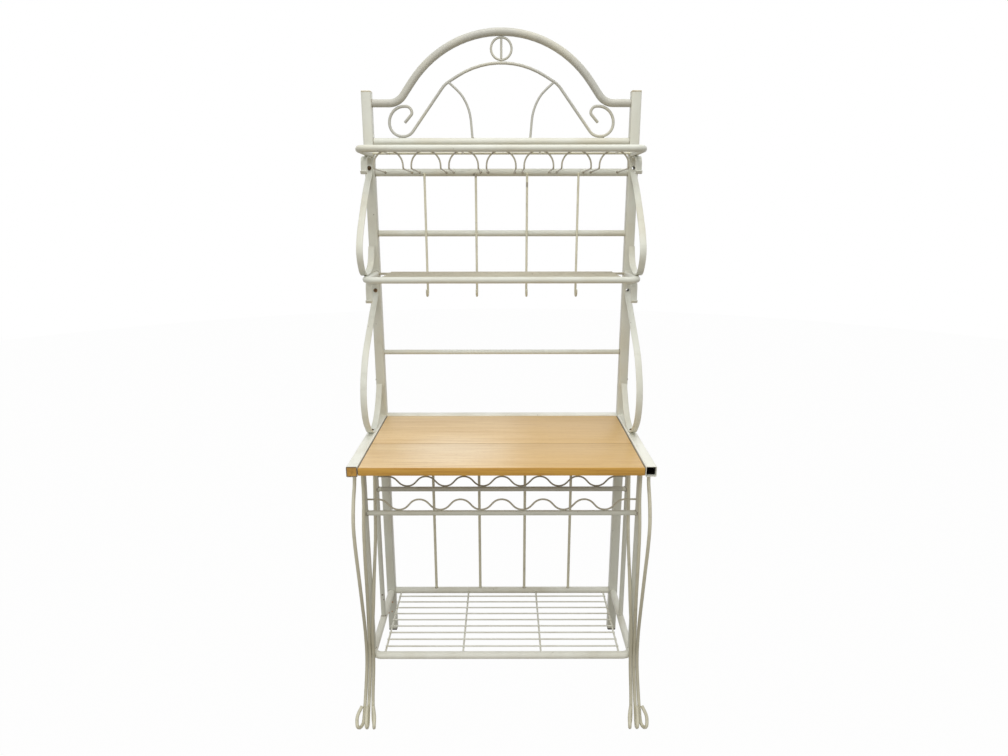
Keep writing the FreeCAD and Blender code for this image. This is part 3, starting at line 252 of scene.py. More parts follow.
class Finish(Shading):
    """A material whose colour is laid on coat by coat."""

    def __init__(self, name, colour, **plain):
        self.material = bpy.data.materials.new(name)
        super().__init__(self.material)
        self.shader = self.tree.nodes["Principled BSDF"]
        for socket, value in plain.items():
            self.shader.inputs[socket.replace("_", " ")].default_value = value
        self.place = self.node("ShaderNodeTexCoord", output="Object")
        self.colour = colour

    def cloud(self, scale, detail=3.0, rough=0.5):
        """Noise at one scale, or at a scale for each axis."""
        sockets = {"Vector": self.place, "Scale": scale}
        if isinstance(scale, tuple):
            sockets = {"Vector": self.node("ShaderNodeMapping", None, sockets), "Scale": 1.0}
        sockets.update({"Detail": detail, "Roughness": rough})
        return self.node("ShaderNodeTexNoise", None, sockets)

    def rising(self, value, low, high):
        """0 below low, 1 above high and a soft step between them."""
        settings = {"interpolation_type": "SMOOTHSTEP"}
        return self.node("ShaderNodeMapRange", settings, {0: value, 1: low, 2: high})

    def near(self, centre, reach):
        """1 at a point of the rack, 0 from a distance on."""
        settings = {"operation": "DISTANCE"}
        away = self.node("ShaderNodeVectorMath", settings, {0: self.place, 1: centre}, "Value")
        return 1 - self.rising(away, 0.15 * reach, reach)

    def axis(self, index):
        return self.node("ShaderNodeSeparateXYZ", None, {0: self.place}, index)

    def away_from(self, index, level):
        """Distance from a level of an axis."""
        return self.maths("ABSOLUTE", self.axis(index) - level)

    def mixed(self, share, first, second):
        sockets = {0: share}
        for key, colour in ((6, first), (7, second)):
            sockets[key] = colour if isinstance(colour, Socket) else (*colour, 1)
        return self.node("ShaderNodeMix", {"data_type": "RGBA"}, sockets, 2)

    def coat(self, share, colour):
        """Lay a colour over what is there."""
        self.colour = self.mixed(share, self.colour, colour)

    def shown(self, height, distance, strength, roughness):
        """The material with its colour, its relief and its roughness."""
        relief = {"Height": height, "Distance": distance, "Strength": strength}
        sockets = {"Base Color": self.colour, "Roughness": roughness}
        sockets["Normal"] = self.node("ShaderNodeBump", None, relief)
        for name, value in sockets.items():
            self.tree.links.new(value.output, self.shader.inputs[name])
        return self.material

    def shade_under_worktop(self):
        """1 close under the worktop between the uprights and towards the back: painted shade for
        the worktop's shadow.
        """
        level = self.axis(2)
        high = self.rising(level, RAIL_UNDER - 0.22, RAIL_UNDER - 0.12)
        high = high * (1 - self.rising(level, RAIL_UNDER - 0.0005, RAIL_UNDER))
        between = 1 - self.rising(self.away_from(0, 0.0), INNER_X - 0.001, INNER_X)
        return high * between * self.rising(self.axis(1), AXIS_Y - 0.20, AXIS_Y - 0.12)

    def shade_inside_rails(self):
        """1 on the inner walls of the worktop rails from a little behind their ends: painted shade
        for the dark inside of the open tubes.
        """
        beside = self.maths("ABSOLUTE", self.away_from(0, 0.0) - AXIS_X)
        off_axis = self.maths("MAXIMUM", beside, self.away_from(2, RAIL_Z))
        depth, rail_end, face = self.axis(1), AXIS_Y - RAIL_FRONT, AXIS_Y - FACE
        within = self.rising(depth, rail_end + 0.010, rail_end + 0.013)
        within = within * (1 - self.rising(depth, face - 0.001, face - 0.0002))
        return within * (1 - self.rising(off_axis, 0.0112, 0.0118))

    def plugged_end(self):
        """1 on the sawn end of the left rail round its plug."""
        rail_end = AXIS_Y - RAIL_FRONT
        at_end = 1 - self.rising(self.axis(1), rail_end + 0.0003, rail_end + 0.001)
        level = 1 - self.rising(self.away_from(2, RAIL_Z), 0.0130, 0.0134)
        return at_end * level * self.rising(0 - self.axis(0), 0.2, 0.3)


# Flecks, chips and stains by place on the frame: centre, reach, depth and colour.
RUST_ORANGE, BARE_BROWN, CHIP_BROWN = srgb(184, 124, 62), srgb(92, 74, 54), srgb(92, 74, 56)
STAINS = (
    (spot(-AXIS_X - 0.011, 0.0125, 0.062), 0.006, 0.7, RUST_ORANGE),
    (spot(-AXIS_X, 0.0125, 0.067), 0.005, 0.6, RUST_ORANGE),
    (spot(-AXIS_X + 0.002, 0.0125, 0.100), 0.006, 0.7, RUST_ORANGE),
    (spot(-AXIS_X + 0.001, 0.1445, 0.212), 0.005, 0.8, BARE_BROWN),
    (spot(-AXIS_X + 0.004, 0.1430, 0.196), 0.004, 0.8, BARE_BROWN),
    (spot(-AXIS_X / 5, 0.010, TOP_SHELF_Z - 0.052), 0.014, 0.6, BARE_BROWN),
    (spot(AXIS_X / 5, 0.011, TOP_SHELF_Z - 0.075), 0.014, 0.5, BARE_BROWN),
    (spot(0.318, 0.0, LOW_SHELF_Z + 0.060), 0.010, 0.5, RUST_ORANGE),
)


def painted(name, paint, worn, tone_shift=0.0):
    """Old powder coat: uneven, yellowed, chipped, stained, and darker low down near the floor."""
    colours = bpy.context.scene.rack_colours
    finish = Finish(name, paint, Specular_IOR_Level=0.4, Coat_Weight=0.12, Coat_Roughness=0.3)
    patches, drift = finish.cloud(7.0), finish.cloud(41.0, 4.0, 0.6)
    specks, grain = finish.cloud(130.0, 2.0), finish.cloud(900.0, 2.0)
    finish.coat(finish.rising(patches, 0.42, 0.74) * 0.6, colours.yellowed)
    dusty = finish.rising(drift, 0.5 - 0.05 * worn, 0.85) * (0.10 + 0.34 * worn)
    finish.coat(dusty, colours.grime)
    chipped = finish.rising(specks, 0.72 - 0.04 * worn, 0.78) * finish.rising(drift, 0.50, 0.62)
    finish.coat(chipped * 0.75, CHIP_BROWN)
    for centre, reach, depth, stain in STAINS:
        shape = finish.near(centre, reach) * 0.8 + specks * 0.5
        finish.coat(finish.rising(shape, 0.62, 0.9) * depth, stain)
    # Darker low down, near the floor, by the given share.
    if tone_shift:
        height = finish.axis(2)
        low_down = finish.rising(height, 0.02, 0.09) * (1 - finish.rising(height, 0.1, 0.65))
        finish.coat(low_down * tone_shift, colours.grime)
    # Painted shade: a warm brown laid on under the worktop for its shadow.
    finish.coat(finish.shade_under_worktop() * 0.45, srgb(100, 80, 50))
    # Painted shade: near black laid on the rails' inner walls for the dark inside of the tubes.
    finish.coat(finish.shade_inside_rails(), srgb(30, 26, 21))
    finish.coat(finish.plugged_end() * 0.9, srgb(84, 66, 42))
    relief = grain * 0.15 + drift * 0.85 - chipped * 0.8
    return finish.shown(relief, 0.00010, 0.05, 0.36 + patches * 0.12 + chipped * 0.3)


def rusted_weld(name):
    """Weld bead under thin paint, brown where the coat has let the damp in."""
    colours = bpy.context.scene.rack_colours
    finish = Finish(name, colours.paint, Specular_IOR_Level=0.35)
    ripple, patches = finish.cloud(520.0, 3.0, 0.65), finish.cloud(24.0, 2.0)
    finish.coat(finish.rising(ripple, 0.35, 0.7) * 0.5, colours.yellowed)
    brown = finish.rising(patches, 0.38, 0.58) * finish.rising(ripple, 0.30, 0.55)
    finish.coat(brown * 0.85, srgb(104, 82, 54))
    return finish.shown(ripple, 0.0006, 0.8, 0.5 + brown * 0.3)


def lacquered_oak(name, front, seam, end):
    """Oak with its grain along the plank and a darker lacquer on the front edge."""
    colours = bpy.context.scene.rack_colours
    finish = Finish(
        name, colours.oak_light, Specular_IOR_Level=0.4, Coat_Weight=0.15, Coat_Roughness=0.35)
    bands = finish.cloud((1.6, 34.0, 34.0), 4.0, 0.6)
    streaks = finish.cloud((4.0, 130.0, 130.0), 3.0, 0.6)
    lines = finish.cloud((7.0, 300.0, 300.0), 5.0, 0.7)
    pores = finish.cloud((60.0, 900.0, 900.0), 2.0)
    broad = finish.cloud((3.0, 9.0, 9.0))
    finish.coat(finish.rising(bands, 0.30, 0.75) * 0.6, colours.oak_dark)
    golden = finish.rising(finish.axis(0) + broad * 0.1, 0.03, 0.15)
    finish.coat(golden * 0.65, srgb(205, 165, 88))
    # Painted sheen: a pale patch on the front plank for the lacquer's soft reflection of the
    # lamps.
    painted_sheen = finish.near(spot(-0.12, 0.29, RAIL_TOP), 0.18) * finish.rising(broad, 0.25, 0.5)
    finish.coat(painted_sheen * 0.8, srgb(244, 224, 190))
    finish.coat(finish.rising(streaks, 0.50, 0.66) * 0.30, srgb(190, 148, 94))
    finish.coat(finish.rising(lines, 0.40, 0.72) * 0.36, srgb(186, 144, 92))
    finish.coat(finish.rising(pores, 0.58, 0.70) * 0.30, srgb(160, 116, 68))
    beside_seam = 1 - finish.rising(finish.away_from(1, seam), 0.0008, 0.0028)
    finish.coat(beside_seam * 0.65, srgb(160, 118, 62))
    beside_rail = finish.rising(finish.away_from(0, 0.0), end - 0.0026, end - 0.0012)
    finish.coat(beside_rail * 0.85, srgb(84, 64, 38))
    darker = finish.mixed(finish.rising(lines, 0.4, 0.7), colours.oak_edge, srgb(190, 138, 58))
    finish.coat(1 - finish.rising(finish.axis(1), front + 0.0006, front + 0.0022), darker)
    return finish.shown(lines * 0.7 - pores, 0.00010, 0.5, 0.40 + lines * 0.15)


def moulded(name, colour, tone_shift):
    """Matt plastic with a fine moulded grain and worn, dirty patches."""
    finish = Finish(name, colour, Specular_IOR_Level=0.35)
    patches = finish.cloud(55.0, 4.0, 0.6)
    finish.coat(finish.rising(patches, 0.42, 0.72) * 0.7, tone_shift)
    return finish.shown(finish.cloud(1300.0, 2.0), 0.00008, 0.5, 0.5 + patches * 0.2)


def bronzed(name, colour):
    """Bronzed steel of screws and bolts, brighter where a driver has worn it."""
    finish = Finish(name, colour, Metallic=0.75, Specular_IOR_Level=0.5)
    patches = finish.cloud(160.0, 3.0, 0.6)
    finish.coat(finish.rising(patches, 0.45, 0.7), srgb(150, 124, 92))
    return finish.shown(finish.cloud(1500.0, 2.0), 0.00005, 0.4, 0.38 + patches * 0.25)


def drawn_steel(name, colour):
    """Unpainted tube with lengthwise drawing marks and light rust."""
    finish = Finish(name, colour, Metallic=0.9)
    marks, patches = finish.cloud((900.0, 900.0, 25.0), 3.0, 0.6), finish.cloud(60.0, 4.0, 0.6)
    rust = bpy.context.scene.rack_colours.rust
    finish.coat(finish.rising(patches, 0.55, 0.8) * 0.5, rust)
    return finish.shown(marks, 0.00005, 0.4, 0.35 + marks * 0.2)


FINISHES = {}


class RACK_OT_finishes(bpy.types.Operator):
    """Make the rack's paints, oak, plastics and metals"""

    bl_idname = "rack.finishes"
    bl_label = "Finishes"

    def execute(self, context):
        colours = context.scene.rack_colours
        paint, wire, greyed = colours.paint, colours.wire_paint, colours.greyed_paint
        near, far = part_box("worktop_front_plank")
        FINISHES.update({
            "frame_paint": painted("ivory_powder_coat", paint, 0.0),
            "strap_paint": painted("ivory_strap_coat", paint, 0.25),
            "wire_paint": painted("dull_wire_coat", wire, 0.6),
            # Painted shade: the crest's darkened copy of the paint, with a little dust.
            "shaded_crest_paint": painted("shaded_crest_powder_coat", colours.shaded_crest_paint, 0.2),
            # Painted light: the brighter copy of the paint for the low shelf and the worktop
            # rails.
            "painted_light_paint": painted("painted_light_powder_coat", colours.painted_light_paint, 0.0),
            "dull_wire": painted("greyed_wire_coat", greyed, 0.8),
            # Heavy grime patches on the rear wave: partly grime and partly painted shade for the
            # shadow under the worktop.
            "shade_and_grime_wire": painted("shade_and_grime_wire_coat", greyed, 1.8),
            "leg_paint": painted("low_darkened_leg_coat", wire, 0.6, 0.43),
            "weld": rusted_weld("painted_weld"),
            "oak_planks": lacquered_oak("lacquered_oak", near.y, far.y, far.x),
            "end_plug": moulded("brown_plug_plastic", colours.end_plug, srgb(150, 108, 50)),
            "plastic_caps": moulded("cream_cap_plastic", colours.cap, srgb(164, 146, 112)),
            "glide_plastic": moulded("dark_glide_plastic", colours.glide, srgb(92, 80, 66)),
            "screw_bronze": bronzed("bronzed_screw", colours.screw),
            "bare_steel": drawn_steel("drawn_steel", colours.bare_steel),
        })
        return {"FINISHED"}


# ---- shaping helpers

# Sides of a tube's, a post's, a rod's and a wire's section, and the rounding of a cut end.
TUBE, POST, ROD, WIRE = 28, 24, 16, 12
CUT_END, ROUND_END = 0.0004, 0.0012
FINE_STEP = math.radians(6)


def turned_to(direction, across=None):
    """Matrix whose Z points along a direction and whose X points across it."""
    ahead = Vector(direction).normalized()
    if across is None:
        across = ahead.orthogonal()
    beside = (across - ahead * across.dot(ahead)).normalized()
    return Matrix((beside, ahead.cross(beside), ahead)).transposed().to_4x4()


def verts_of(parts):
    return [part for part in parts if isinstance(part, bmesh.types.BMVert)]


def edges_among(verts):
    """The edges that run between some vertices, in a steady order."""
    chosen = set(verts)
    edges = dict.fromkeys(edge for vert in verts for edge in vert.link_edges)
    return [edge for edge in edges if chosen.issuperset(edge.verts)]


def eased(bm, geom, offset, segments=2, affect="EDGES"):
    """Round edges, or the corners of an outline."""
    bmesh.ops.bevel(
        bm, geom=geom, offset=offset, offset_type="OFFSET", segments=segments, profile=0.5,
        affect=affect, material=-1)


def round_outline(bm, centre, ahead, diameter, sides):
    at = Matrix.Translation(centre) @ turned_to(ahead)
    made = bmesh.ops.create_circle(bm, segments=sides, radius=diameter / 2, matrix=at)
    return made["verts"]


def flat_outline(bm, centre, ahead, across, width, depth, corner):
    """Rectangle with rounded corners, square to a direction; returns its one face."""
    scale = Matrix.Diagonal((width, depth, 1, 1))
    at = Matrix.Translation(centre) @ turned_to(ahead, across) @ scale
    before = set(bm.faces)
    made = bmesh.ops.create_grid(bm, x_segments=1, y_segments=1, size=0.5, matrix=at)
    eased(bm, made["verts"], corner, 3, "VERTICES")
    return next(face for face in bm.faces if face not in before)


def thickened(bm, faces, way):
    """Make flat faces a solid; returns the first far face."""
    made = bmesh.ops.extrude_face_region(bm, geom=faces)["geom"]
    bmesh.ops.translate(bm, vec=way, verts=verts_of(made))
    return next(part for part in made if isinstance(part, bmesh.types.BMFace))


def spun(bm, geom, centre, axis, steps):
    """Carry geometry once round an axis."""
    bmesh.ops.spin(
        bm, geom=geom, cent=centre, axis=axis, dvec=(0, 0, 0), angle=2 * math.pi, steps=steps,
        use_merge=True, use_duplicate=False)


def pushed(bm, verts, way):
    """Carry an outline straight on; returns the new outline."""
    made = bmesh.ops.extrude_edge_only(bm, edges=edges_among(verts))["geom"]
    bmesh.ops.translate(bm, vec=way, verts=verts_of(made))
    return verts_of(made)


def carried(bm, verts, route, bends, step):
    """Carry an outline along straight runs and round the bends between them."""
    here = route[0]
    for index, bend in enumerate(bends, 1):
        corner = route[index]
        back = (route[index - 1] - corner).normalized()
        ahead = (route[index + 1] - corner).normalized()
        turn = math.pi - back.angle(ahead)
        reach = bend * math.tan(turn / 2)
        first = corner + back * reach
        centre = corner + (back + ahead).normalized() * (bend / math.cos(turn / 2))
        if (first - here).length > 1e-5:
            verts = pushed(bm, verts, first - here)
        made = bmesh.ops.spin(
            bm, geom=verts + edges_among(verts), cent=centre, axis=ahead.cross(back),
            dvec=(0, 0, 0), angle=turn, steps=max(2, math.ceil(turn / step)),
            use_merge=False, use_duplicate=False)
        verts = verts_of(made["geom_last"])
        here = corner + ahead * reach
    return pushed(bm, verts, route[-1] - here)


def closed(bm, verts, ease):
    """Close an outline with a face and ease its edge."""
    edges = edges_among(verts)
    bmesh.ops.edgeloop_fill(bm, edges=edges)
    if ease:
        eased(bm, edges, ease)


def bar(bm, start, route, bends, ease, step):
    """Carry an outline along a route and close both its ends."""
    end = carried(bm, start, route, bends, step)
    closed(bm, start, ease)
    closed(bm, end, ease)


def round_bar(bm, route, bends, diameter, sides, ease, step=math.radians(9)):
    """Round bar or tube along a route."""
    start = round_outline(bm, route[0], route[1] - route[0], diameter, sides)
    bar(bm, start, route, bends, ease, step)


def straight_bar(bm, start, end, diameter, sides, ease=0):
    round_bar(bm, [start, end], [], diameter, sides, ease)


def mirrored(half):
    """Route across the rack, whose left half is given from its end to the middle."""
    return half + [Vector((-place.x, place.y, place.z)) for place in reversed(half) if place.x]


def turn_at(route, index):
    return math.pi - (route[index - 1] - route[index]).angle(route[index + 1] - route[index])


def even_bends(route):
    """For each inner point the largest bend that leaves its runs a straight part."""
    runs = [(end - start).length for start, end in zip(route, route[1:])]
    return [
        0.45 * min(runs[index - 1], runs[index]) / math.tan(turn_at(route, index) / 2)
        for index in range(1, len(route) - 1)]


def fitted_bends(route, bends):
    """The wanted bends, smaller where two neighbours would not fit on their run."""
    reaches = [bend * math.tan(turn_at(route, index) / 2) for index, bend in enumerate(bends, 1)]
    reaches = [0.0, *reaches, 0.0]
    shares = []
    for index in range(len(route) - 1):
        run = (route[index + 1] - route[index]).length
        shares.append(min(1.0, 0.98 * run / (reaches[index] + reaches[index + 1])))
    return [bend * min(shares[index], shares[index + 1]) for index, bend in enumerate(bends)]


def square_tube(bm, start, end, across):
    """Open square tube with rounded corners."""
    sizes = bpy.context.scene.rack_sizes
    face = flat_outline(bm, start, end - start, across, UPRIGHT, UPRIGHT, sizes.square_corner)
    wall = bmesh.ops.inset_region(
        bm, faces=[face], thickness=sizes.square_wall, use_even_offset=True, use_boundary=True)
    bmesh.ops.delete(bm, geom=[face], context="FACES_ONLY")
    thickened(bm, wall["faces"], end - start)


def linked(bm, name):
    """Object in the scene with the mesh that a bmesh has become."""
    bmesh.ops.recalc_face_normals(bm, faces=bm.faces)
    mesh = bpy.data.meshes.new(name)
    bm.to_mesh(mesh)
    bm.free()
    made = bpy.data.objects.new(name, mesh)
    bpy.context.scene.collection.objects.link(made)
    return made


def finished(bm, name, slot, *nodes, finish=None):
    """Make a bmesh a piece of the rack that stands for its nodes of the frame."""
    piece = linked(bm, name)
    mesh = piece.data
    mesh.polygons.foreach_set("use_smooth", [True] * len(mesh.polygons))
    mesh.set_sharp_from_angle(angle=math.radians(38))
    mesh.materials.append(FINISHES[finish or slot])
    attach(piece, "root")
    if nodes:
        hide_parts(*nodes)
    return piece


def cut_away(piece, bm):
    """Take the solids of a bmesh out of a finished piece."""
    cutter = linked(bm, "cutter")
    cut = piece.modifiers.new("holes", "BOOLEAN")
    cut.operation = "DIFFERENCE"
    cut.solver = "EXACT"
    cut.object = cutter
    bpy.context.view_layer.update()
    shown = piece.evaluated_get(bpy.context.evaluated_depsgraph_get())
    holed = bpy.data.meshes.new_from_object(shown)
    piece.modifiers.remove(cut)
    if len(holed.polygons) <= len(piece.data.polygons):
        raise RuntimeError("the holes of %s cut nothing" % piece.name)
    piece.data = holed
    mesh = cutter.data
    bpy.data.objects.remove(cutter)
    bpy.data.meshes.remove(mesh)


@contextmanager
def shaped(node, ending, finish=None, holes=()):
    """Gives a bmesh to shape and makes it the piece that stands for a node.

    Holes are bored last, each given by its two ends and diameter.
    """
    bm = bmesh.new()
    yield bm
    piece = finished(bm, "%s_%s" % (node, ending), SLOTS[node], node, finish=finish)
    if holes:
        cutters = bmesh.new()
        for start, end, diameter in holes:
            straight_bar(cutters, start, end, diameter, POST)
        cut_away(piece, cutters)


# ---- uprights and rails

JOINT_GAP = 0.0003
BOLT_HOLE, DRILL_START, DRILL_REACH = 0.008, 0.03, 0.06
CAP_PLAY, CAP_ROUNDED, PEG_EDGE = 0.0006, 0.55, 0.001
PLUG_CORNER, PLUG_EASE = 0.0011, 0.0006
PLANK_RIM = 0.0008


class RACK_OT_uprights(bpy.types.Operator):
    """Square tube uprights in two halves, with their bolt holes"""

    bl_idname = "rack.uprights"
    bl_label = "Uprights"

    def execute(self, context):
        for side, sign in SIDES:
            for half, bolts in (("lower", ()), ("upper", BOLT_HEIGHTS)):
                node = "%s_upright_%s" % (half, side)
                low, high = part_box(node)
                fronts = [spot(sign * AXIS_X, DRILL_START, height) for height in bolts]
                holes = [(front, front + BACK * DRILL_REACH, BOLT_HOLE) for front in fronts]
                with shaped(node, "tube", holes=holes) as bm:
                    foot = spot(sign * AXIS_X, 0, low.z + JOINT_GAP)
                    head = spot(sign * AXIS_X, 0, high.z - JOINT_GAP)
                    square_tube(bm, foot, head, RIGHT)
        return {"FINISHED"}


class RACK_OT_caps_and_glides(bpy.types.Operator):
    """Plastic caps on the uprights and glides under the rear feet"""

    bl_idname = "rack.caps_and_glides"
    bl_label = "Caps and glides"

    def execute(self, context):
        corner = context.scene.rack_sizes.square_corner
        bore = UPRIGHT - 2 * context.scene.rack_sizes.square_wall - CAP_PLAY
        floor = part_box("lower_upright_left")[0].z
        for node, way, rim in (("upright_caps", 1, UPRIGHT_TOP), ("rear_glides", -1, floor)):
            low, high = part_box(node)
            crown = (high.z if way > 0 else low.z) - rim
            with shaped(node, "moulded") as bm:
                for sign in SIGNS:
                    centre = spot(sign * AXIS_X, 0, rim)
                    face = flat_outline(bm, centre, UP * way, RIGHT, UPRIGHT, UPRIGHT, corner)
                    top = thickened(bm, [face], UP * crown)
                    eased(bm, list(top.edges), abs(crown) * CAP_ROUNDED, 4)
                    inside = rim - way * (high.z - low.z - abs(crown))
                    start = spot(sign * AXIS_X, 0, rim + way * PEG_EDGE)
                    peg = flat_outline(bm, start, UP * -way, RIGHT, bore, bore, PEG_EDGE)
                    thickened(bm, [peg], UP * (inside - start.z))
        return {"FINISHED"}


class RACK_OT_worktop_rails(bpy.types.Operator):
    """Square rails that carry the worktop, with the plug in the left rail's end"""

    bl_idname = "rack.worktop_rails"
    bl_label = "Worktop rails"

    def execute(self, context):
        for side, sign in SIDES:
            with shaped("worktop_side_rail_" + side, "tube", "painted_light_paint") as bm:
                front = spot(sign * AXIS_X, RAIL_FRONT, RAIL_Z)
                square_tube(bm, front, spot(sign * AXIS_X, FACE, RAIL_Z), RIGHT)
        with shaped("worktop_rear_rail", "tube", "painted_light_paint") as bm:
            square_tube(bm, spot(-INNER_X, 0, RAIL_Z), spot(INNER_X, 0, RAIL_Z), UP)
        with shaped("rail_end_plug", "moulded") as bm:
            size, centre = extent("rail_end_plug"), middle("rail_end_plug")
            centre.y += size.y / 2
            face = flat_outline(bm, centre, -BACK, RIGHT, size.x, size.z, PLUG_CORNER)
            front = thickened(bm, [face], BACK * -size.y)
            eased(bm, list(front.edges), PLUG_EASE)
        return {"FINISHED"}


class RACK_OT_worktop_planks(bpy.types.Operator):
    """Front and rear plank of the worktop with eased edges"""

    bl_idname = "rack.worktop_planks"
    bl_label = "Worktop planks"

    def execute(self, context):
        for node in ("worktop_front_plank", "worktop_rear_plank"):
            low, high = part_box(node)
            size, under = high - low, middle(node)
            under.z = low.z
            with shaped(node, "oak") as bm:
                face = flat_outline(bm, under, UP, RIGHT, size.x, size.y, PLANK_RIM)
                thickened(bm, [face], UP * size.z)
                level = [e for e in bm.edges if abs(e.verts[0].co.z - e.verts[1].co.z) < 1e-7]
                eased(bm, level, PLANK_RIM * 0.9)
                if node == "worktop_front_plank":
                    front = [
                        edge for edge in bm.edges
                        if edge.calc_length() > 0.5
                        and all(vert.co.y < low.y + PLANK_RIM + 0.0001 for vert in edge.verts)
                        and any(abs(edge.verts[0].co.z - end) < 1e-6 for end in (low.z, high.z))
                    ]
                    eased(bm, front, context.scene.rack_sizes.plank_edge * 0.5, 3)
        return {"FINISHED"}


# ---- base

RUNNER_WIRE = 0.005
CROSS_WIRE = 0.004
BACK_ROD = 0.008
BAR_LAP = 0.002
WAVE_WIRE = 0.0045
WAVE_SLOPE = math.radians(48)
WAVE_ENDS = 0.0254


def shelf_frame(node, arm_x, diameter, finish=None):
    """U-shaped shelf tube from one upright round the front to the other."""
    height = middle(node).z
    ahead = AXIS_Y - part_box(node)[0].y - diameter / 2
    bend = bpy.context.scene.rack_sizes.shelf_bend
    with shaped(node, "tube", finish) as bm:
        route = mirrored([spot(-arm_x, FACE, height), spot(-arm_x, ahead, height)])
        round_bar(bm, route, [bend, bend], diameter, TUBE, 0)


def tube_between(node, ending, height, diameter, finish=None):
    """Round tube straight from one upright to the other."""
    with shaped(node, ending, finish) as bm:
        straight_bar(bm, spot(-INNER_X, 0, height), spot(INNER_X, 0, height), diameter, TUBE)


def wires(node, ending, diameter, count, axis, height, lap=0.0, finish=None):
    """Equal wires that share out their node along one axis and run along the other."""
    low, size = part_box(node)[0], extent(node)
    run = BACK * (size.y + lap) if axis == 0 else RIGHT * size.x
    with shaped(node, ending, finish) as bm:
        for place in places_across(node, diameter, count, axis):
            start = Vector((low.x, low.y, height))
            start[axis] = place
            straight_bar(bm, start, start + run, diameter, WIRE, CUT_END)


def shelf_wires(shelf, ending, count, lap, finish):
    """The runners of a shelf and the cross wires on them."""
    node = shelf + "runners"
    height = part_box(node)[1].z - RUNNER_WIRE / 2
    wires(node, ending, RUNNER_WIRE, 4, 0, height, lap, finish)
    node = shelf + "cross_wires"
    wires(node, "drawn", CROSS_WIRE, count, 1, middle(node).z, 0.0, finish)


class RACK_OT_low_shelf(bpy.types.Operator):
    """Low shelf: front-and-side tube, rear tube, runners and cross wires"""

    bl_idname = "rack.low_shelf"
    bl_label = "Low shelf"

    def execute(self, context):
        large = context.scene.rack_sizes.large_tube
        shelf_frame("low_shelf_frame", AXIS_X, large, "painted_light_paint")
        tube_between("low_shelf_rear_tube", "round", LOW_SHELF_Z, large, "painted_light_paint")
        shelf_wires("low_shelf_", "wire", 9, BAR_LAP, "painted_light_paint")
        return {"FINISHED"}


class RACK_OT_posts(bpy.types.Operator):
    """Round posts from the low shelf up to the worktop rails"""

    bl_idname = "rack.posts"
    bl_label = "Posts"

    def execute(self, context):
        for side in ("left", "right"):
            for node in ("mid_post_" + side, "front_post_" + side):
                foot, head = middle(node), middle(node)
                foot.z, head.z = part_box(node)[0].z, RAIL_UNDER
                with shaped(node, "tube") as bm:
                    straight_bar(bm, foot, head, context.scene.rack_sizes.thin_tube, POST)
        return {"FINISHED"}


LEG_HEIGHT = RAIL_UNDER - LOW_SHELF_Z
ROD_PITCH, INNER_PITCH = 0.0087, 0.01115
MID_POST_AHEAD = AXIS_Y - middle("mid_post_left").y
FRONT_POST_AHEAD = AXIS_Y - middle("front_post_left").y
OUTER_TOP_AHEAD = RAIL_FRONT - 0.061
MIDDLE_TOP_AHEAD = FRONT_POST_AHEAD + 0.01085
CLAW_AHEAD, CLAW_START_Z = 0.41275, 0.060
ANKLE_AHEAD, ANKLE_SHARE = 0.3076, 0.1426

# The leg rods from the rail down to the ankle: offset outward, distance ahead and share
# of the height from the low shelf to the rail.
LEG_RODS = {
    "outer": [(ROD_PITCH, OUTER_TOP_AHEAD + ahead, share) for ahead, share in (
        (0.0, 1.0), (0.004, 0.93), (0.030, 0.856), (0.045, 0.763), (0.040, 0.652),
        (0.024, 0.504), (0.008, 0.337))],
    "middle": [(0.0, MIDDLE_TOP_AHEAD + ahead, share) for ahead, share in (
        (0.0, 1.0), (0.0, 0.809), (0.0214, 0.698), (0.0274, 0.522), (0.0254, 0.337))],
    "inner": [(-pitch, MID_POST_AHEAD + part * (FRONT_POST_AHEAD - MID_POST_AHEAD), share)
              for pitch, part, share in (
        (ROD_PITCH, 0.348, 1.0), (ROD_PITCH, 0.407, 0.837), (ROD_PITCH, 0.504, 0.707),
        (INNER_PITCH, 0.681, 0.559), (INNER_PITCH, 0.978, 0.411), (INNER_PITCH, 1.178, 0.272))],
}
# Offset outward of the ankle and how far it moves on towards the claw.
ANKLES = {"outer": (0.0127, -0.0029), "middle": (0.004, -0.0035), "inner": (-0.0047, -0.0041)}
# The claws: distance behind the claw's front and height, and the offsets outward there.
CLAW_SIDE = (
    (0.0280, 0.013), (0.0200, 0.00425), (0.0070, 0.00425), (-0.0025, 0.016), (0.0130, 0.033),
    (0.0330, 0.0465))
CLAW_OUT = {
    "outer": (0.0115, 0.0125, 0.0170, 0.0220, 0.0253, 0.0155),
    "middle": (0.0005, 0.0, -0.0010, -0.0010, 0.0015, 0.0022),
    "inner": (-0.0120, -0.0150, -0.0180, -0.0200, -0.0195, -0.0125),
}


def leg_route(kind, sign):
    """Points of a leg rod from the worktop rail down into its claw."""
    rod = bpy.context.scene.rack_sizes.leg_rod
    offset, spread = ANKLES[kind]
    places = [*LEG_RODS[kind], (offset, ANKLE_AHEAD, ANKLE_SHARE)]
    places = [(out, ahead, LOW_SHELF_Z + share * LEG_HEIGHT) for out, ahead, share in places]
    places.append((offset, ANKLE_AHEAD, LOW_SHELF_Z - rod))
    places.append((offset + spread, (ANKLE_AHEAD + CLAW_AHEAD) / 2, CLAW_START_Z))
    for out, (behind, height) in zip(CLAW_OUT[kind], CLAW_SIDE):
        places.append((out, CLAW_AHEAD - behind, height))
    return [spot(sign * (AXIS_X + out), ahead, height) for out, ahead, height in places]


class RACK_OT_leg_rods(bpy.types.Operator):
    """Three bent rods on each side that end in a claw on the floor"""

    bl_idname = "rack.leg_rods"
    bl_label = "Leg rods"

    def execute(self, context):
        rod = context.scene.rack_sizes.leg_rod
        for side, sign in SIDES:
            for kind in LEG_RODS:
                route = leg_route(kind, sign)
                with shaped("leg_%s_rod_%s" % (kind, side), "bent", "leg_paint") as bm:
                    round_bar(bm, route, even_bends(route), rod, ROD, ROUND_END)
        return {"FINISHED"}


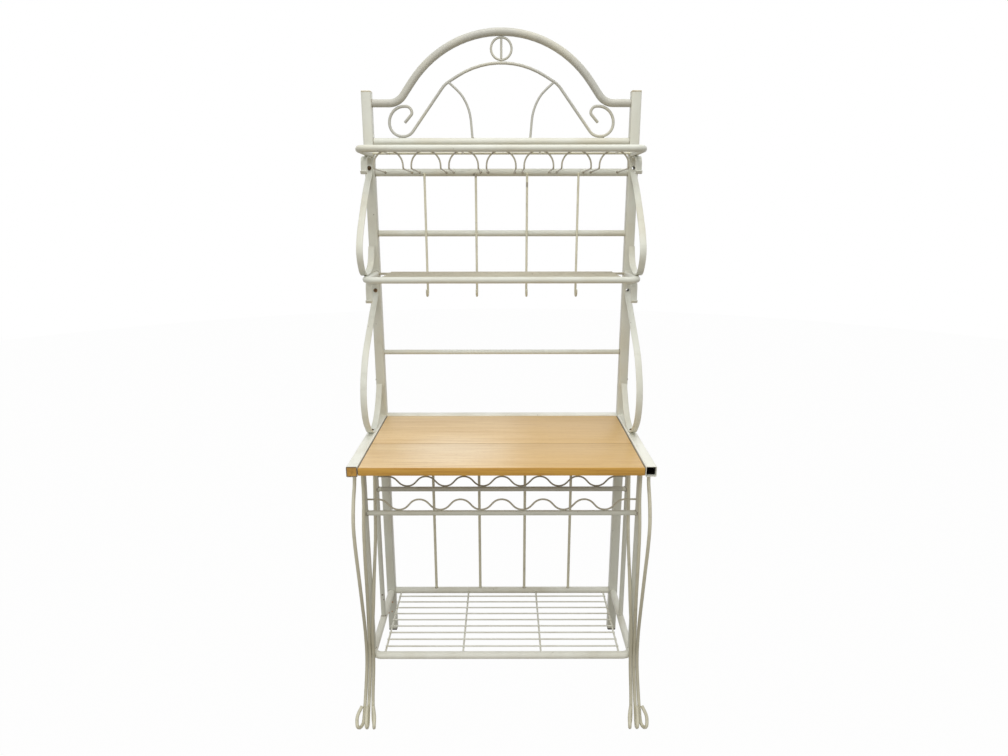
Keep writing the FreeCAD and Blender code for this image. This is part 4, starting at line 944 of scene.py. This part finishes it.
def wave_route(node):
    """Points and bend of one wave wire over its bottle bar."""
    low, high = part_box(node)
    valley, peak = low.z + CROSS_WIRE / 2, high.z - CROSS_WIRE / 2
    half_pitch = (high.x - WAVE_ENDS) / 6
    sine, cosine = math.sin(WAVE_SLOPE), math.cos(WAVE_SLOPE)
    bend = (half_pitch * sine - (peak - valley) * cosine) / (2 * (1 - cosine))
    over = bend * (1 / cosine - 1)
    half = [(high.x, peak), (5 * half_pitch + (peak - valley + over) / math.tan(WAVE_SLOPE), peak)]
    for index in range(5, -1, -1):
        half.append((index * half_pitch, valley - over if index % 2 else peak + over))
    ahead = AXIS_Y - middle(node).y
    return mirrored([spot(-x_place, ahead, height) for x_place, height in half]), bend


class RACK_OT_bottle_rack(bpy.types.Operator):
    """Two bars with waved wires that hold bottles under the worktop"""

    bl_idname = "rack.bottle_rack"
    bl_label = "Bottle rack"

    def execute(self, context):
        thin = context.scene.rack_sizes.thin_tube
        reach = RIGHT * (AXIS_X - thin / 2 + BAR_LAP)
        # The rear wave's coat carries painted shade for the worktop's shadow, laid on as heavy
        # grime.
        for place, dulled in (("front", "dull_wire"), ("rear", "shade_and_grime_wire")):
            node = "bottle_bar_" + place
            with shaped(node, "tube") as bm:
                straight_bar(bm, middle(node) - reach, middle(node) + reach, thin, POST)
            node = "bottle_wave_" + place
            route, bend = wave_route(node)
            with shaped(node, "bent", dulled) as bm:
                round_bar(bm, route, [bend] * (len(route) - 2), WAVE_WIRE, WIRE, CUT_END)
        return {"FINISHED"}


# ---- back and upper shelves

ROD_SEAT = 0.008
HOOK_ROD, HOOK_BEND, HOOK_TIP, HOOK_HEAD = 0.006, 0.011, 0.007, 0.002
REAR_WIRE = 0.006
THIN_ROD = 14
HOOP_WIRE, HOOP_BEND, HOOP_COUNT, STEM_SLOT = 0.0040, 0.006, 7, 0.0194


class RACK_OT_back_rods(bpy.types.Operator):
    """Four rods behind the low shelf and four hooked rods behind the upper shelves"""

    bl_idname = "rack.back_rods"
    bl_label = "Back rods"

    def execute(self, context):
        with shaped("lower_back_rods", "drawn") as bm:
            for x_place in places_across("lower_back_rods", BACK_ROD):
                foot = spot(x_place, 0, LOW_SHELF_Z + ROD_SEAT)
                straight_bar(bm, foot, spot(x_place, 0, RAIL_UNDER), BACK_ROD, ROD)
        low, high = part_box("hook_rods")
        behind, bottom = AXIS_Y - high.y + HOOK_ROD / 2, low.z + HOOK_ROD / 2
        hook = behind + 2 * HOOK_BEND
        side = (
            (behind, high.z - HOOK_HEAD), (behind, bottom), (hook, bottom),
            (hook, bottom + HOOK_BEND + HOOK_TIP))
        with shaped("hook_rods", "bent") as bm:
            for x_place in places_across("hook_rods", HOOK_ROD):
                route = [spot(x_place, ahead, height) for ahead, height in side]
                round_bar(bm, route, [HOOK_BEND, HOOK_BEND], HOOK_ROD, THIN_ROD, ROUND_END)
        return {"FINISHED"}


class RACK_OT_back_rails(bpy.types.Operator):
    """Round rails between the uprights"""

    bl_idname = "rack.back_rails"
    bl_label = "Back rails"

    def execute(self, context):
        for place in ("top", "hanger", "middle", "low"):
            node = "back_rail_" + place
            tube_between(node, "tube", middle(node).z, extent(node).z)
        return {"FINISHED"}


class RACK_OT_upper_shelves(bpy.types.Operator):
    """Two shelves of bent tube with runners and cross wires"""

    bl_idname = "rack.upper_shelves"
    bl_label = "Upper shelves"

    def execute(self, context):
        tube = context.scene.rack_sizes.shelf_tube
        for shelf, dulled in (("top_shelf_", None), ("mid_shelf_", "dull_wire")):
            shelf_frame(shelf + "frame", (extent(shelf + "frame").x - tube) / 2, tube)
            node = shelf + "rear_wire"
            reach = RIGHT * extent(node).x / 2
            start, end = middle(node) - reach, middle(node) + reach
            with shaped(node, "drawn", dulled) as bm:
                straight_bar(bm, start, end, REAR_WIRE, THIN_ROD, CUT_END)
            shelf_wires(shelf, "drawn", 6, 0.0, dulled)
        return {"FINISHED"}


def hoop_places():
    """Middle of each hoop and half the distance between its legs."""
    pitch = (extent("stemware_hoops").x - HOOP_WIRE + STEM_SLOT) / HOOP_COUNT
    middles = [(index - (HOOP_COUNT - 1) / 2) * pitch for index in range(HOOP_COUNT)]
    return middles, (pitch - STEM_SLOT) / 2


class RACK_OT_stemware_hoops(bpy.types.Operator):
    """Wire hoops between which glasses hang by their feet"""

    bl_idname = "rack.stemware_hoops"
    bl_label = "Stemware hoops"

    def execute(self, context):
        low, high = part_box("stemware_hoops")
        ahead, crown = AXIS_Y - low.y - HOOP_WIRE / 2, high.z - HOOP_WIRE / 2
        rail = middle("back_rail_hanger").z
        middles, half = hoop_places()
        arch = min(half, crown - rail - HOOP_BEND) - 0.00002
        side = ((0.008, rail), (ahead, rail), (ahead, crown))
        with shaped("stemware_hoops", "bent", "dull_wire") as bm:
            for centre in middles:
                route = [spot(centre - half, *place) for place in side]
                route += [spot(centre + half, *place) for place in reversed(side)]
                round_bar(bm, route, [HOOP_BEND, arch, arch, HOOP_BEND], HOOP_WIRE, WIRE, CUT_END)
        return {"FINISHED"}


# ---- crest

CREST_FOOT = UPRIGHT_TOP - 0.025
CREST_FOOT_X = INNER_X - 0.066
CREST_SLOPE = math.radians(54)
CREST_BEND = 0.045
SCROLL_FLOOR, SCROLL_TOP = (corner.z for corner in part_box("crest_scroll_wire"))
SCROLL_WIRE = extent("crest_scroll_wire").y
CURL = 0.0715
CURL_BENDS = [0.008, 0.016, 0.039, 0.031, 0.030, 0.060]
SHOULDER_X = 0.434 * INNER_X
BROW_BEND = 0.66 * INNER_X
BROW_ANGLE = math.radians(30.5)
BROW_REACH = BROW_BEND * math.sin(BROW_ANGLE)
BROW_Z = (SCROLL_TOP - SCROLL_WIRE / 2 - BROW_BEND * (1 - math.cos(BROW_ANGLE))
          + BROW_REACH * math.tan(BROW_ANGLE))
SIDE_WIRE, SIDE_WIRE_X = 0.006, 0.0735
SIDE_WIRE_CURVE = ((1.0, 1.0), (0.397, 0.78), (0.095, 0.5), (0.0, 0.02))


def scroll_route():
    """Points and bends of the scroll wire: a curl at each end and a brow between them."""
    floor = SCROLL_FLOOR + SCROLL_WIRE / 2
    half = [
        (INNER_X - 0.0809, floor + 0.452 * CURL), (INNER_X - 0.100, floor + 0.747 * CURL),
        (INNER_X - 0.100, floor + CURL), (INNER_X - 0.042, floor + CURL),
        (INNER_X - 0.042, floor), (INNER_X - 0.092, floor),
        (SHOULDER_X, BROW_Z - SHOULDER_X * math.tan(BROW_ANGLE)), (0.0, BROW_Z)]
    route = mirrored([spot(-x_place, 0, height) for x_place, height in half])
    return route, fitted_bends(route, CURL_BENDS + [BROW_BEND] + CURL_BENDS[::-1])


class RACK_OT_crest(bpy.types.Operator):
    """Arched crest tube with its scroll wire, ring and side wires"""

    bl_idname = "rack.crest"
    bl_label = "Crest"

    def execute(self, context):
        large = context.scene.rack_sizes.large_tube
        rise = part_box("crest_tube")[1].z - large / 2 - CREST_FOOT
        apex_rise = CREST_FOOT_X * math.tan(CREST_SLOPE)
        arch = (apex_rise - rise) / (1 / math.cos(CREST_SLOPE) - 1)
        route = mirrored([
            spot(-INNER_X, 0, CREST_FOOT), spot(-CREST_FOOT_X, 0, CREST_FOOT),
            spot(0, 0, CREST_FOOT + apex_rise)])
        with shaped("crest_tube", "bent", "shaded_crest_paint") as bm:
            bends = [CREST_BEND, arch, CREST_BEND]
            round_bar(bm, route, bends, large, TUBE, 0, math.radians(4))
        with shaped("crest_scroll_wire", "bent", "shaded_crest_paint") as bm:
            round_bar(bm, *scroll_route(), SCROLL_WIRE, ROD, 0.0015, FINE_STEP)

        size, centre = extent("crest_ring"), middle("crest_ring")
        with shaped("crest_ring", "bent", "shaded_crest_paint") as bm:
            rim = centre + RIGHT * (size.x - size.y) / 2
            verts = round_outline(bm, rim, UP, size.y, THIN_ROD)
            spun(bm, verts + edges_among(verts), centre, BACK, 48)
            bmesh.ops.remove_doubles(bm, verts=bm.verts, dist=1e-6)
        with shaped("crest_ring_bar", "drawn", "shaded_crest_paint") as bm:
            foot, head = (Vector((0, centre.y, end.z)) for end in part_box("crest_ring_bar"))
            straight_bar(bm, foot, head, size.y, THIN_ROD)

        join_x = SHOULDER_X - 0.009
        join_z = BROW_Z - join_x * math.tan(BROW_ANGLE)
        rail = middle("back_rail_top").z
        with shaped("crest_side_wires", "bent", "shaded_crest_paint") as bm:
            for sign in SIGNS:
                route = [
                    spot(sign * (SIDE_WIRE_X + out * (join_x - SIDE_WIRE_X)), 0,
                         rail + share * (join_z - rail))
                    for out, share in SIDE_WIRE_CURVE]
                round_bar(bm, route, even_bends(route), SIDE_WIRE, THIN_ROD, 0)
        return {"FINISHED"}


# ---- brackets and screws

SHELF_RADIUS = extent("back_rail_middle").z / 2
SHELF_AHEAD = AXIS_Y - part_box("top_shelf_frame")[0].y - SHELF_RADIUS
ARM_SCREW_AHEAD = 0.046
STRAP_PLAY, STRAP_HOLE, STRAP_CORNER = 0.0001, 0.0086, 0.0011
STRAP_BENDS = (0.0037, 0.0037, 0.020, 0.018, 0.013)
FLAT_BELOW_BOLT, FOOT_REACH = 0.0115, 0.026
SPIGOT_SCREW = 0.022
BOLT_HEAD, BOLT_HEAD_HEIGHT, BOLT_SHANK = 0.011, 0.0032, 0.006
SCREW_HEAD_HEIGHT, SCREW_SHANK, SCREW_LENGTH = 0.0026, 0.004, 0.012
HEX_HEIGHT, HEX_EASE = 0.0040, 0.0003
DOME = (
    (0.0, 0.0068), (0.0017, 0.0064), (0.0031, 0.0054), (0.0038, 0.0040), (0.0038, 0.0030),
    (0.0, 0.0030))

# A strap's hook and seat are given ahead and up, the hook's from the shelf arm, and its
# belly and tail ahead and as a share of its rise.
Strap = namedtuple("Strap", "node under_arm hook bolt_z seat belly tail")
STRAPS = (
    Strap(
        "upper_bracket_", TOP_SHELF_Z - SHELF_RADIUS, (0.078, 0.043), BOLT_HEIGHTS[1],
        (SHELF_AHEAD - 0.037, MID_SHELF_Z + SHELF_RADIUS),
        ((-0.0625, 0.818), (0.0295, 0.423), (0.0555, 0.224)),
        ((0.052, 0.075), (0.036, 0.16), (0.028, 0.263))),
    Strap(
        "lower_bracket_", MID_SHELF_Z - SHELF_RADIUS, (0.100, 0.056), BOLT_HEIGHTS[0],
        (0.150, RAIL_TOP),
        ((-0.0875, 0.899), (0.0375, 0.612), (0.0745, 0.43), (0.0835, 0.284), (0.0705, 0.138)),
        ((0.066, 0.075), (0.034, 0.19), (0.015, 0.28))),
)


def strap_route(strap, sign):
    """Points of a strap: lipped hook, run under the shelf arm, belly, foot and tail."""
    clear = bpy.context.scene.rack_sizes.strap_thickness / 2 + STRAP_PLAY
    top, flat_end = strap.under_arm - clear, strap.bolt_z - FLAT_BELOW_BOLT
    seat, floor = strap.seat
    rise = flat_end - floor
    hook, low = strap.hook[0], strap.under_arm - strap.hook[1]
    places = [(hook + 0.011, low + 0.006), (hook + 0.0075, low), (hook, low), (hook, top)]
    places += [(FACE + clear, top), (FACE + clear, flat_end)]
    places += [(seat + ahead, floor + share * rise) for ahead, share in strap.belly]
    places += [(seat + FOOT_REACH, floor + clear), (seat - FOOT_REACH, floor + clear)]
    places += [(FACE + ahead, floor + share * rise) for ahead, share in strap.tail]
    return [spot(sign * AXIS_X, ahead, height) for ahead, height in places]


class RACK_OT_brackets(bpy.types.Operator):
    """Bent straps between the shelves, the uprights and the worktop rails"""

    bl_idname = "rack.brackets"
    bl_label = "Brackets"

    def execute(self, context):
        sizes = context.scene.rack_sizes
        width, thickness = sizes.strap_width, sizes.strap_thickness
        for strap in STRAPS:
            for side, sign in SIDES:
                route = strap_route(strap, sign)
                bends = even_bends(route)
                for index, most in enumerate(STRAP_BENDS):
                    bends[index] = min(bends[index], most)
                front = spot(sign * AXIS_X, FACE + 0.010, strap.bolt_z)
                holes = [(front, front + BACK * 0.012, STRAP_HOLE)]
                with shaped(strap.node + side, "strap", holes=holes) as bm:
                    face = flat_outline(
                        bm, route[0], route[1] - route[0], RIGHT, width, thickness, STRAP_CORNER)
                    start = list(face.verts)
                    bmesh.ops.delete(bm, geom=[face], context="FACES_ONLY")
                    bar(bm, start, route, bends, 0, FINE_STEP)
        return {"FINISHED"}


def turned_profile(bm, at, profile):
    """Solid of revolution about a matrix's Z from its radius and height profile."""
    before = set(bm.verts)
    verts = [bm.verts.new((radius, 0, height)) for radius, height in profile]
    edges = [bm.edges.new(pair) for pair in zip(verts, verts[1:])]
    spun(bm, verts + edges, (0, 0, 0), (0, 0, 1), 20)
    made = [vert for vert in bm.verts if vert not in before]
    bmesh.ops.remove_doubles(bm, verts=made, dist=1e-7)
    made = [vert for vert in bm.verts if vert not in before]
    bmesh.ops.transform(bm, matrix=at, verts=made)


def pan_heads(node, places, head, height, shank, reach):
    """Equal pan-head screws of a node, seated at their matrices, each with its cross."""
    half, width = head / 2, 0.15 * head
    profile = (
        (0.0, height), (0.60 * half, 0.94 * height), (0.88 * half, 0.66 * height),
        (half, 0.25 * height), (half, 0.0), (shank / 2, 0.0), (shank / 2, -reach), (0.0, -reach))
    screws, crosses = bmesh.new(), bmesh.new()
    for at in places:
        turned_profile(screws, at, profile)
        at = at @ Matrix.Translation((0, 0, height * 1.15))
        block = bmesh.ops.create_cube(
            crosses, size=1, matrix=at @ Matrix.Diagonal((width, width, height * 1.3, 1)))
        faces = dict.fromkeys(face for vert in block["verts"] for face in vert.link_faces)
        for face in faces:
            face.normal_update()
        sides = [face for face in faces if abs(face.normal.dot(at.to_3x3() @ UP)) < 0.5]
        for face in bmesh.ops.extrude_discrete_faces(crosses, faces=sides)["faces"]:
            way = (face.calc_center_median() - at.translation).normalized()
            arm = way * (0.27 * head - width / 2)
            bmesh.ops.translate(crosses, vec=arm, verts=face.verts)
    cut_away(finished(screws, node + "_turned", SLOTS[node], node), crosses)


def screw_places():
    """Seat and head direction of every screw of the straps and spigots."""
    thick = bpy.context.scene.rack_sizes.strap_thickness + 2 * STRAP_PLAY
    places = []
    for strap in STRAPS:
        for sign in SIGNS:
            arm = spot(sign * AXIS_X, ARM_SCREW_AHEAD, strap.under_arm - thick)
            foot = spot(sign * AXIS_X, strap.seat[0], strap.seat[1] + thick)
            places += [(arm, -UP), (foot, UP)]
    for sign in SIGNS:
        for height in (SPLIT_Z - SPIGOT_SCREW, SPLIT_Z + SPIGOT_SCREW):
            places.append((spot(sign * (AXIS_X + FACE), 0, height), RIGHT * sign))
    return places


class RACK_OT_screws(bpy.types.Operator):
    """Cross-recessed screws of the straps and spigots"""

    bl_idname = "rack.screws"
    bl_label = "Screws"

    def execute(self, context):
        places = []
        for index, (seat, way) in enumerate(screw_places()):
            twist = Matrix.Rotation(math.radians(37 * index), 4, "Z")
            places.append(Matrix.Translation(seat) @ turned_to(way) @ twist)
        head = context.scene.rack_sizes.screw_head
        pan_heads("frame_screws", places, head, SCREW_HEAD_HEIGHT, SCREW_SHANK, SCREW_LENGTH)
        return {"FINISHED"}


class RACK_OT_bolts(bpy.types.Operator):
    """Bolts and cap nuts that hold the left brackets to their upright"""

    bl_idname = "rack.bolts"
    bl_label = "Bolts"

    def execute(self, context):
        thick = context.scene.rack_sizes.strap_thickness + 2 * STRAP_PLAY
        places = [
            Matrix.Translation(spot(-AXIS_X, FACE + thick, height)) @ turned_to(-BACK)
            for height in BOLT_HEIGHTS]
        reach = UPRIGHT + thick + HEX_HEIGHT
        pan_heads("bracket_bolts", places, BOLT_HEAD, BOLT_HEAD_HEIGHT, BOLT_SHANK, reach)
        nuts = bmesh.new()
        for height in BOLT_HEIGHTS:
            face = spot(-AXIS_X, -FACE, height)
            verts = round_outline(nuts, face, BACK, BOLT_HEAD, 6)
            ends = pushed(nuts, verts, BACK * HEX_HEIGHT)
            closed(nuts, verts, HEX_EASE)
            closed(nuts, ends, 2 * HEX_EASE)
            turned_profile(nuts, Matrix.Translation(face) @ turned_to(BACK), DOME)
        finished(nuts, "cap_nuts_turned", SLOTS["bracket_bolts"])
        return {"FINISHED"}


# ---- welds

WELD_SEED = 7
BEAD_GRAIN, BEAD_ROUGH = 260, 0.35
TACK_GRAIN, TACK_ROUGH = 300, 0.3
RING_TACK, SCROLL_TACK = 0.0024, 0.0022


def bead(bm, centre, way, diameter, onto=0.0, along=UP, aside=0.0):
    """Weld bead round a bar that meets a face, or a tube that runs along a direction."""
    size = bpy.context.scene.rack_sizes.weld_bead
    beside = Vector(way).cross(along).normalized()
    before = set(bm.verts)
    start = centre + beside * (diameter / 2)
    verts = round_outline(bm, start, Vector(way).cross(beside), 2 * size, 8)
    spun(bm, verts + edges_among(verts), centre, way, 22)
    for vert in [vert for vert in bm.verts if vert not in before]:
        off = (vert.co - centre).dot(beside) + aside
        vert.co += Vector(way) * math.sqrt(max(onto * onto / 4 - off * off, 0.0))
        vert.co += noise.noise_vector(vert.co * BEAD_GRAIN) * size * BEAD_ROUGH


def tack(bm, centre, size):
    """Small round weld spot where two wires touch."""
    at = Matrix.Translation(centre)
    for vert in bmesh.ops.create_icosphere(bm, subdivisions=2, radius=size, matrix=at)["verts"]:
        vert.co += noise.noise_vector(vert.co * TACK_GRAIN) * size * TACK_ROUGH


class RACK_OT_welds(bpy.types.Operator):
    """Weld beads at the joints of tubes, rods and wires"""

    bl_idname = "rack.welds"
    bl_label = "Welds"

    def execute(self, context):
        sizes = context.scene.rack_sizes
        large, thin, shelf = sizes.large_tube, sizes.thin_tube, sizes.shelf_tube
        arm_x = (extent("top_shelf_frame").x - shelf) / 2
        bottle_z, rail_z = middle("bottle_bar_front").z, middle("back_rail_hanger").z
        rails = ["back_rail_" + place for place in ("top", "hanger", "middle", "low")]
        noise.seed_set(WELD_SEED)
        bm = bmesh.new()
        for sign in SIGNS:
            inward = RIGHT * -sign
            for node in (*rails, "low_shelf_rear_tube"):
                bead(bm, spot(sign * INNER_X, 0, middle(node).z), inward, extent(node).z)
            bead(bm, spot(sign * INNER_X, 0, CREST_FOOT), inward, large)
            bead(bm, spot(sign * AXIS_X, FACE, LOW_SHELF_Z), -BACK, large)
            for height in (TOP_SHELF_Z, MID_SHELF_Z):
                bead(bm, spot(sign * arm_x, FACE, height), -BACK, shelf)
            for ahead in (MID_POST_AHEAD, FRONT_POST_AHEAD):
                bead(bm, spot(sign * AXIS_X, ahead, LOW_SHELF_Z), UP, thin, large, BACK)
                bead(bm, spot(sign * AXIS_X, ahead, RAIL_UNDER), -UP, thin)
                bead(bm, spot(sign * AXIS_X, ahead, bottle_z), inward, thin, thin, UP)
            for kind in LEG_RODS:
                bead(bm, leg_route(kind, sign)[0], -UP, sizes.leg_rod)
            rail_top = spot(sign * SIDE_WIRE_X, 0, middle("back_rail_top").z)
            bead(bm, rail_top, UP, SIDE_WIRE, large, RIGHT)
        for x_place in places_across("lower_back_rods", BACK_ROD):
            bead(bm, spot(x_place, 0, LOW_SHELF_Z), UP, BACK_ROD, large, RIGHT)
            bead(bm, spot(x_place, 0, RAIL_UNDER), -UP, BACK_ROD)
        runner_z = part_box("low_shelf_runners")[1].z - RUNNER_WIRE / 2
        for x_place in places_across("low_shelf_runners", RUNNER_WIRE):
            seat = spot(x_place, 0, runner_z)
            bead(bm, seat, -BACK, RUNNER_WIRE, large, RIGHT, runner_z - LOW_SHELF_Z)
        middles, half = hoop_places()
        for centre in middles:
            for x_place in (centre - half, centre + half):
                bead(bm, spot(x_place, 0, rail_z), -BACK, HOOP_WIRE, large, RIGHT)
        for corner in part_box("crest_ring"):
            tack(bm, spot(0, 0, corner.z), RING_TACK)
        for sign in SIGNS:
            tack(bm, spot(sign * CREST_FOOT_X, 0, SCROLL_FLOOR + 0.0004), SCROLL_TACK)
        finished(bm, "weld_beads", "frame_paint", finish="weld")
        return {"FINISHED"}


# ---- parts kept from the frame


class RACK_OT_hidden_parts(bpy.types.Operator):
    """Finish the parts that keep the shape they have on the frame"""

    bl_idname = "rack.hidden_parts"
    bl_label = "Hidden parts"

    def execute(self, context):
        for node in ("upright_spigots", "plank_tabs", "plank_screws"):
            part = frame["nodes"][node]
            if not part.material_slots:
                raise RuntimeError("%s has no material slot" % node)
            for slot in part.material_slots:
                slot.material = FINISHES[SLOTS[node]]
        return {"FINISHED"}


# ---- stage

CAMERA_PLACE = Vector((0.0057, -1.5444, 1.2622))
CAMERA_YAW, CAMERA_PITCH, CAMERA_ROLL = -0.012, 14.611, -0.058
CAMERA_LENS, SENSOR = 22.877, 36.0
AMBIENT = 0.50
FLOOR_COLOUR, FLOOR_SEEN, FLOOR_RADIUS = (0.27, 0.23, 0.17, 1), 0.985, 7.0
LAMP_TARGET = Vector((0, 0, 0.9))
LAMPS = (
    ("overhead_softbox", (0.1, -0.7, 3.4), 2.4, 38),
    ("front_softbox", (-0.5, -3.0, 2.0), 2.2, 25),
    ("back_softbox", (0.8, 2.6, 2.6), 2.2, 8),
)


class RACK_OT_stage(bpy.types.Operator):
    """Pale floor, soft light from all round and the camera"""

    bl_idname = "rack.stage"
    bl_label = "Stage"

    def placed(self, context, name, data, place, turn):
        made = bpy.data.objects.new(name, data)
        made.matrix_world = Matrix.Translation(place) @ turn
        context.scene.collection.objects.link(made)
        return made

    def camera(self, context):
        data = bpy.data.cameras.new("front_camera")
        data.sensor_width = SENSOR
        data.lens = CAMERA_LENS
        turn = Matrix.Identity(4)
        for angle, axis in ((CAMERA_YAW, "Z"), (90 - CAMERA_PITCH, "X"), (CAMERA_ROLL, "Z")):
            turn = turn @ Matrix.Rotation(math.radians(angle), 4, axis)
        context.scene.camera = self.placed(context, "front_camera", data, CAMERA_PLACE, turn)

    def lamp(self, context, name, place, size, power):
        data = bpy.data.lights.new(name, "AREA")
        data.shape = "DISK"
        data.size = size
        data.energy = power
        self.placed(context, name, data, place, turned_to(Vector(place) - LAMP_TARGET))

    def floor(self):
        bm = bmesh.new()
        bmesh.ops.create_circle(bm, cap_ends=True, segments=96, radius=FLOOR_RADIUS)
        material = bpy.data.materials.new("pale_floor")
        shading = Shading(material, True)
        matt = shading.node("ShaderNodeBsdfDiffuse", None, {"Color": FLOOR_COLOUR})
        white = shading.node("ShaderNodeEmission", None, {"Strength": 1.0})
        sockets = {0: shading.seen() * FLOOR_SEEN, 1: matt, 2: white}
        mix = shading.node("ShaderNodeMixShader", None, sockets)
        shading.node("ShaderNodeOutputMaterial", None, {0: mix})
        floor = linked(bm, "studio_floor")
        floor.data.materials.append(material)
        floor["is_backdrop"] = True

    def backdrop(self, context):
        world = context.scene.world = bpy.data.worlds.new("studio")
        shading = Shading(world, True)
        around, white = (
            shading.node("ShaderNodeBackground", None, {"Color": (1, 1, 1, 1), "Strength": power})
            for power in (AMBIENT, 1.0))
        sockets = {0: shading.seen(), 1: around, 2: white}
        mix = shading.node("ShaderNodeMixShader", None, sockets)
        shading.node("ShaderNodeOutputWorld", None, {0: mix})

    def execute(self, context):
        self.floor()
        self.backdrop(context)
        for lamp in LAMPS:
            self.lamp(context, *lamp)
        self.camera(context)
        context.scene.view_settings.view_transform = "Standard"
        return {"FINISHED"}


# ---- add-on

PIECES = (
    RACK_OT_finishes,
    RACK_OT_uprights,
    RACK_OT_caps_and_glides,
    RACK_OT_worktop_rails,
    RACK_OT_worktop_planks,
    RACK_OT_low_shelf,
    RACK_OT_posts,
    RACK_OT_leg_rods,
    RACK_OT_bottle_rack,
    RACK_OT_back_rods,
    RACK_OT_back_rails,
    RACK_OT_upper_shelves,
    RACK_OT_stemware_hoops,
    RACK_OT_crest,
    RACK_OT_brackets,
    RACK_OT_screws,
    RACK_OT_bolts,
    RACK_OT_welds,
    RACK_OT_hidden_parts,
    RACK_OT_stage,
)


class RACK_PT_pieces(bpy.types.Panel):
    """Sidebar panel with the rack's sizes, colours and pieces"""

    bl_idname = "RACK_PT_pieces"
    bl_label = "Bakers Rack"
    bl_space_type = "VIEW_3D"
    bl_region_type = "UI"
    bl_category = "Bakers Rack"

    def draw(self, context):
        layout = self.layout
        for group in (context.scene.rack_sizes, context.scene.rack_colours):
            box = layout.box()
            for name in group.bl_rna.properties.keys():
                if name not in ("rna_type", "name"):
                    box.prop(group, name)
        for operator in PIECES:
            layout.operator(operator.bl_idname)


CLASSES = (RackSizes, RackColours, *PIECES, RACK_PT_pieces)


def register():
    for item in CLASSES:
        bpy.utils.register_class(item)
    bpy.types.Scene.rack_sizes = bpy.props.PointerProperty(type=RackSizes)
    bpy.types.Scene.rack_colours = bpy.props.PointerProperty(type=RackColours)


def unregister():
    del bpy.types.Scene.rack_colours
    del bpy.types.Scene.rack_sizes
    for item in reversed(CLASSES):
        bpy.utils.unregister_class(item)


def plain(corners):
    return [list(corner) for corner in corners]


def main():
    register()
    for operator in PIECES:
        group, name = operator.bl_idname.split(".")
        getattr(getattr(bpy.ops, group), name)()
    {"frame": plain(FRAME_BOX), "finished": plain(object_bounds())}


if __name__ == "__main__":
    main()
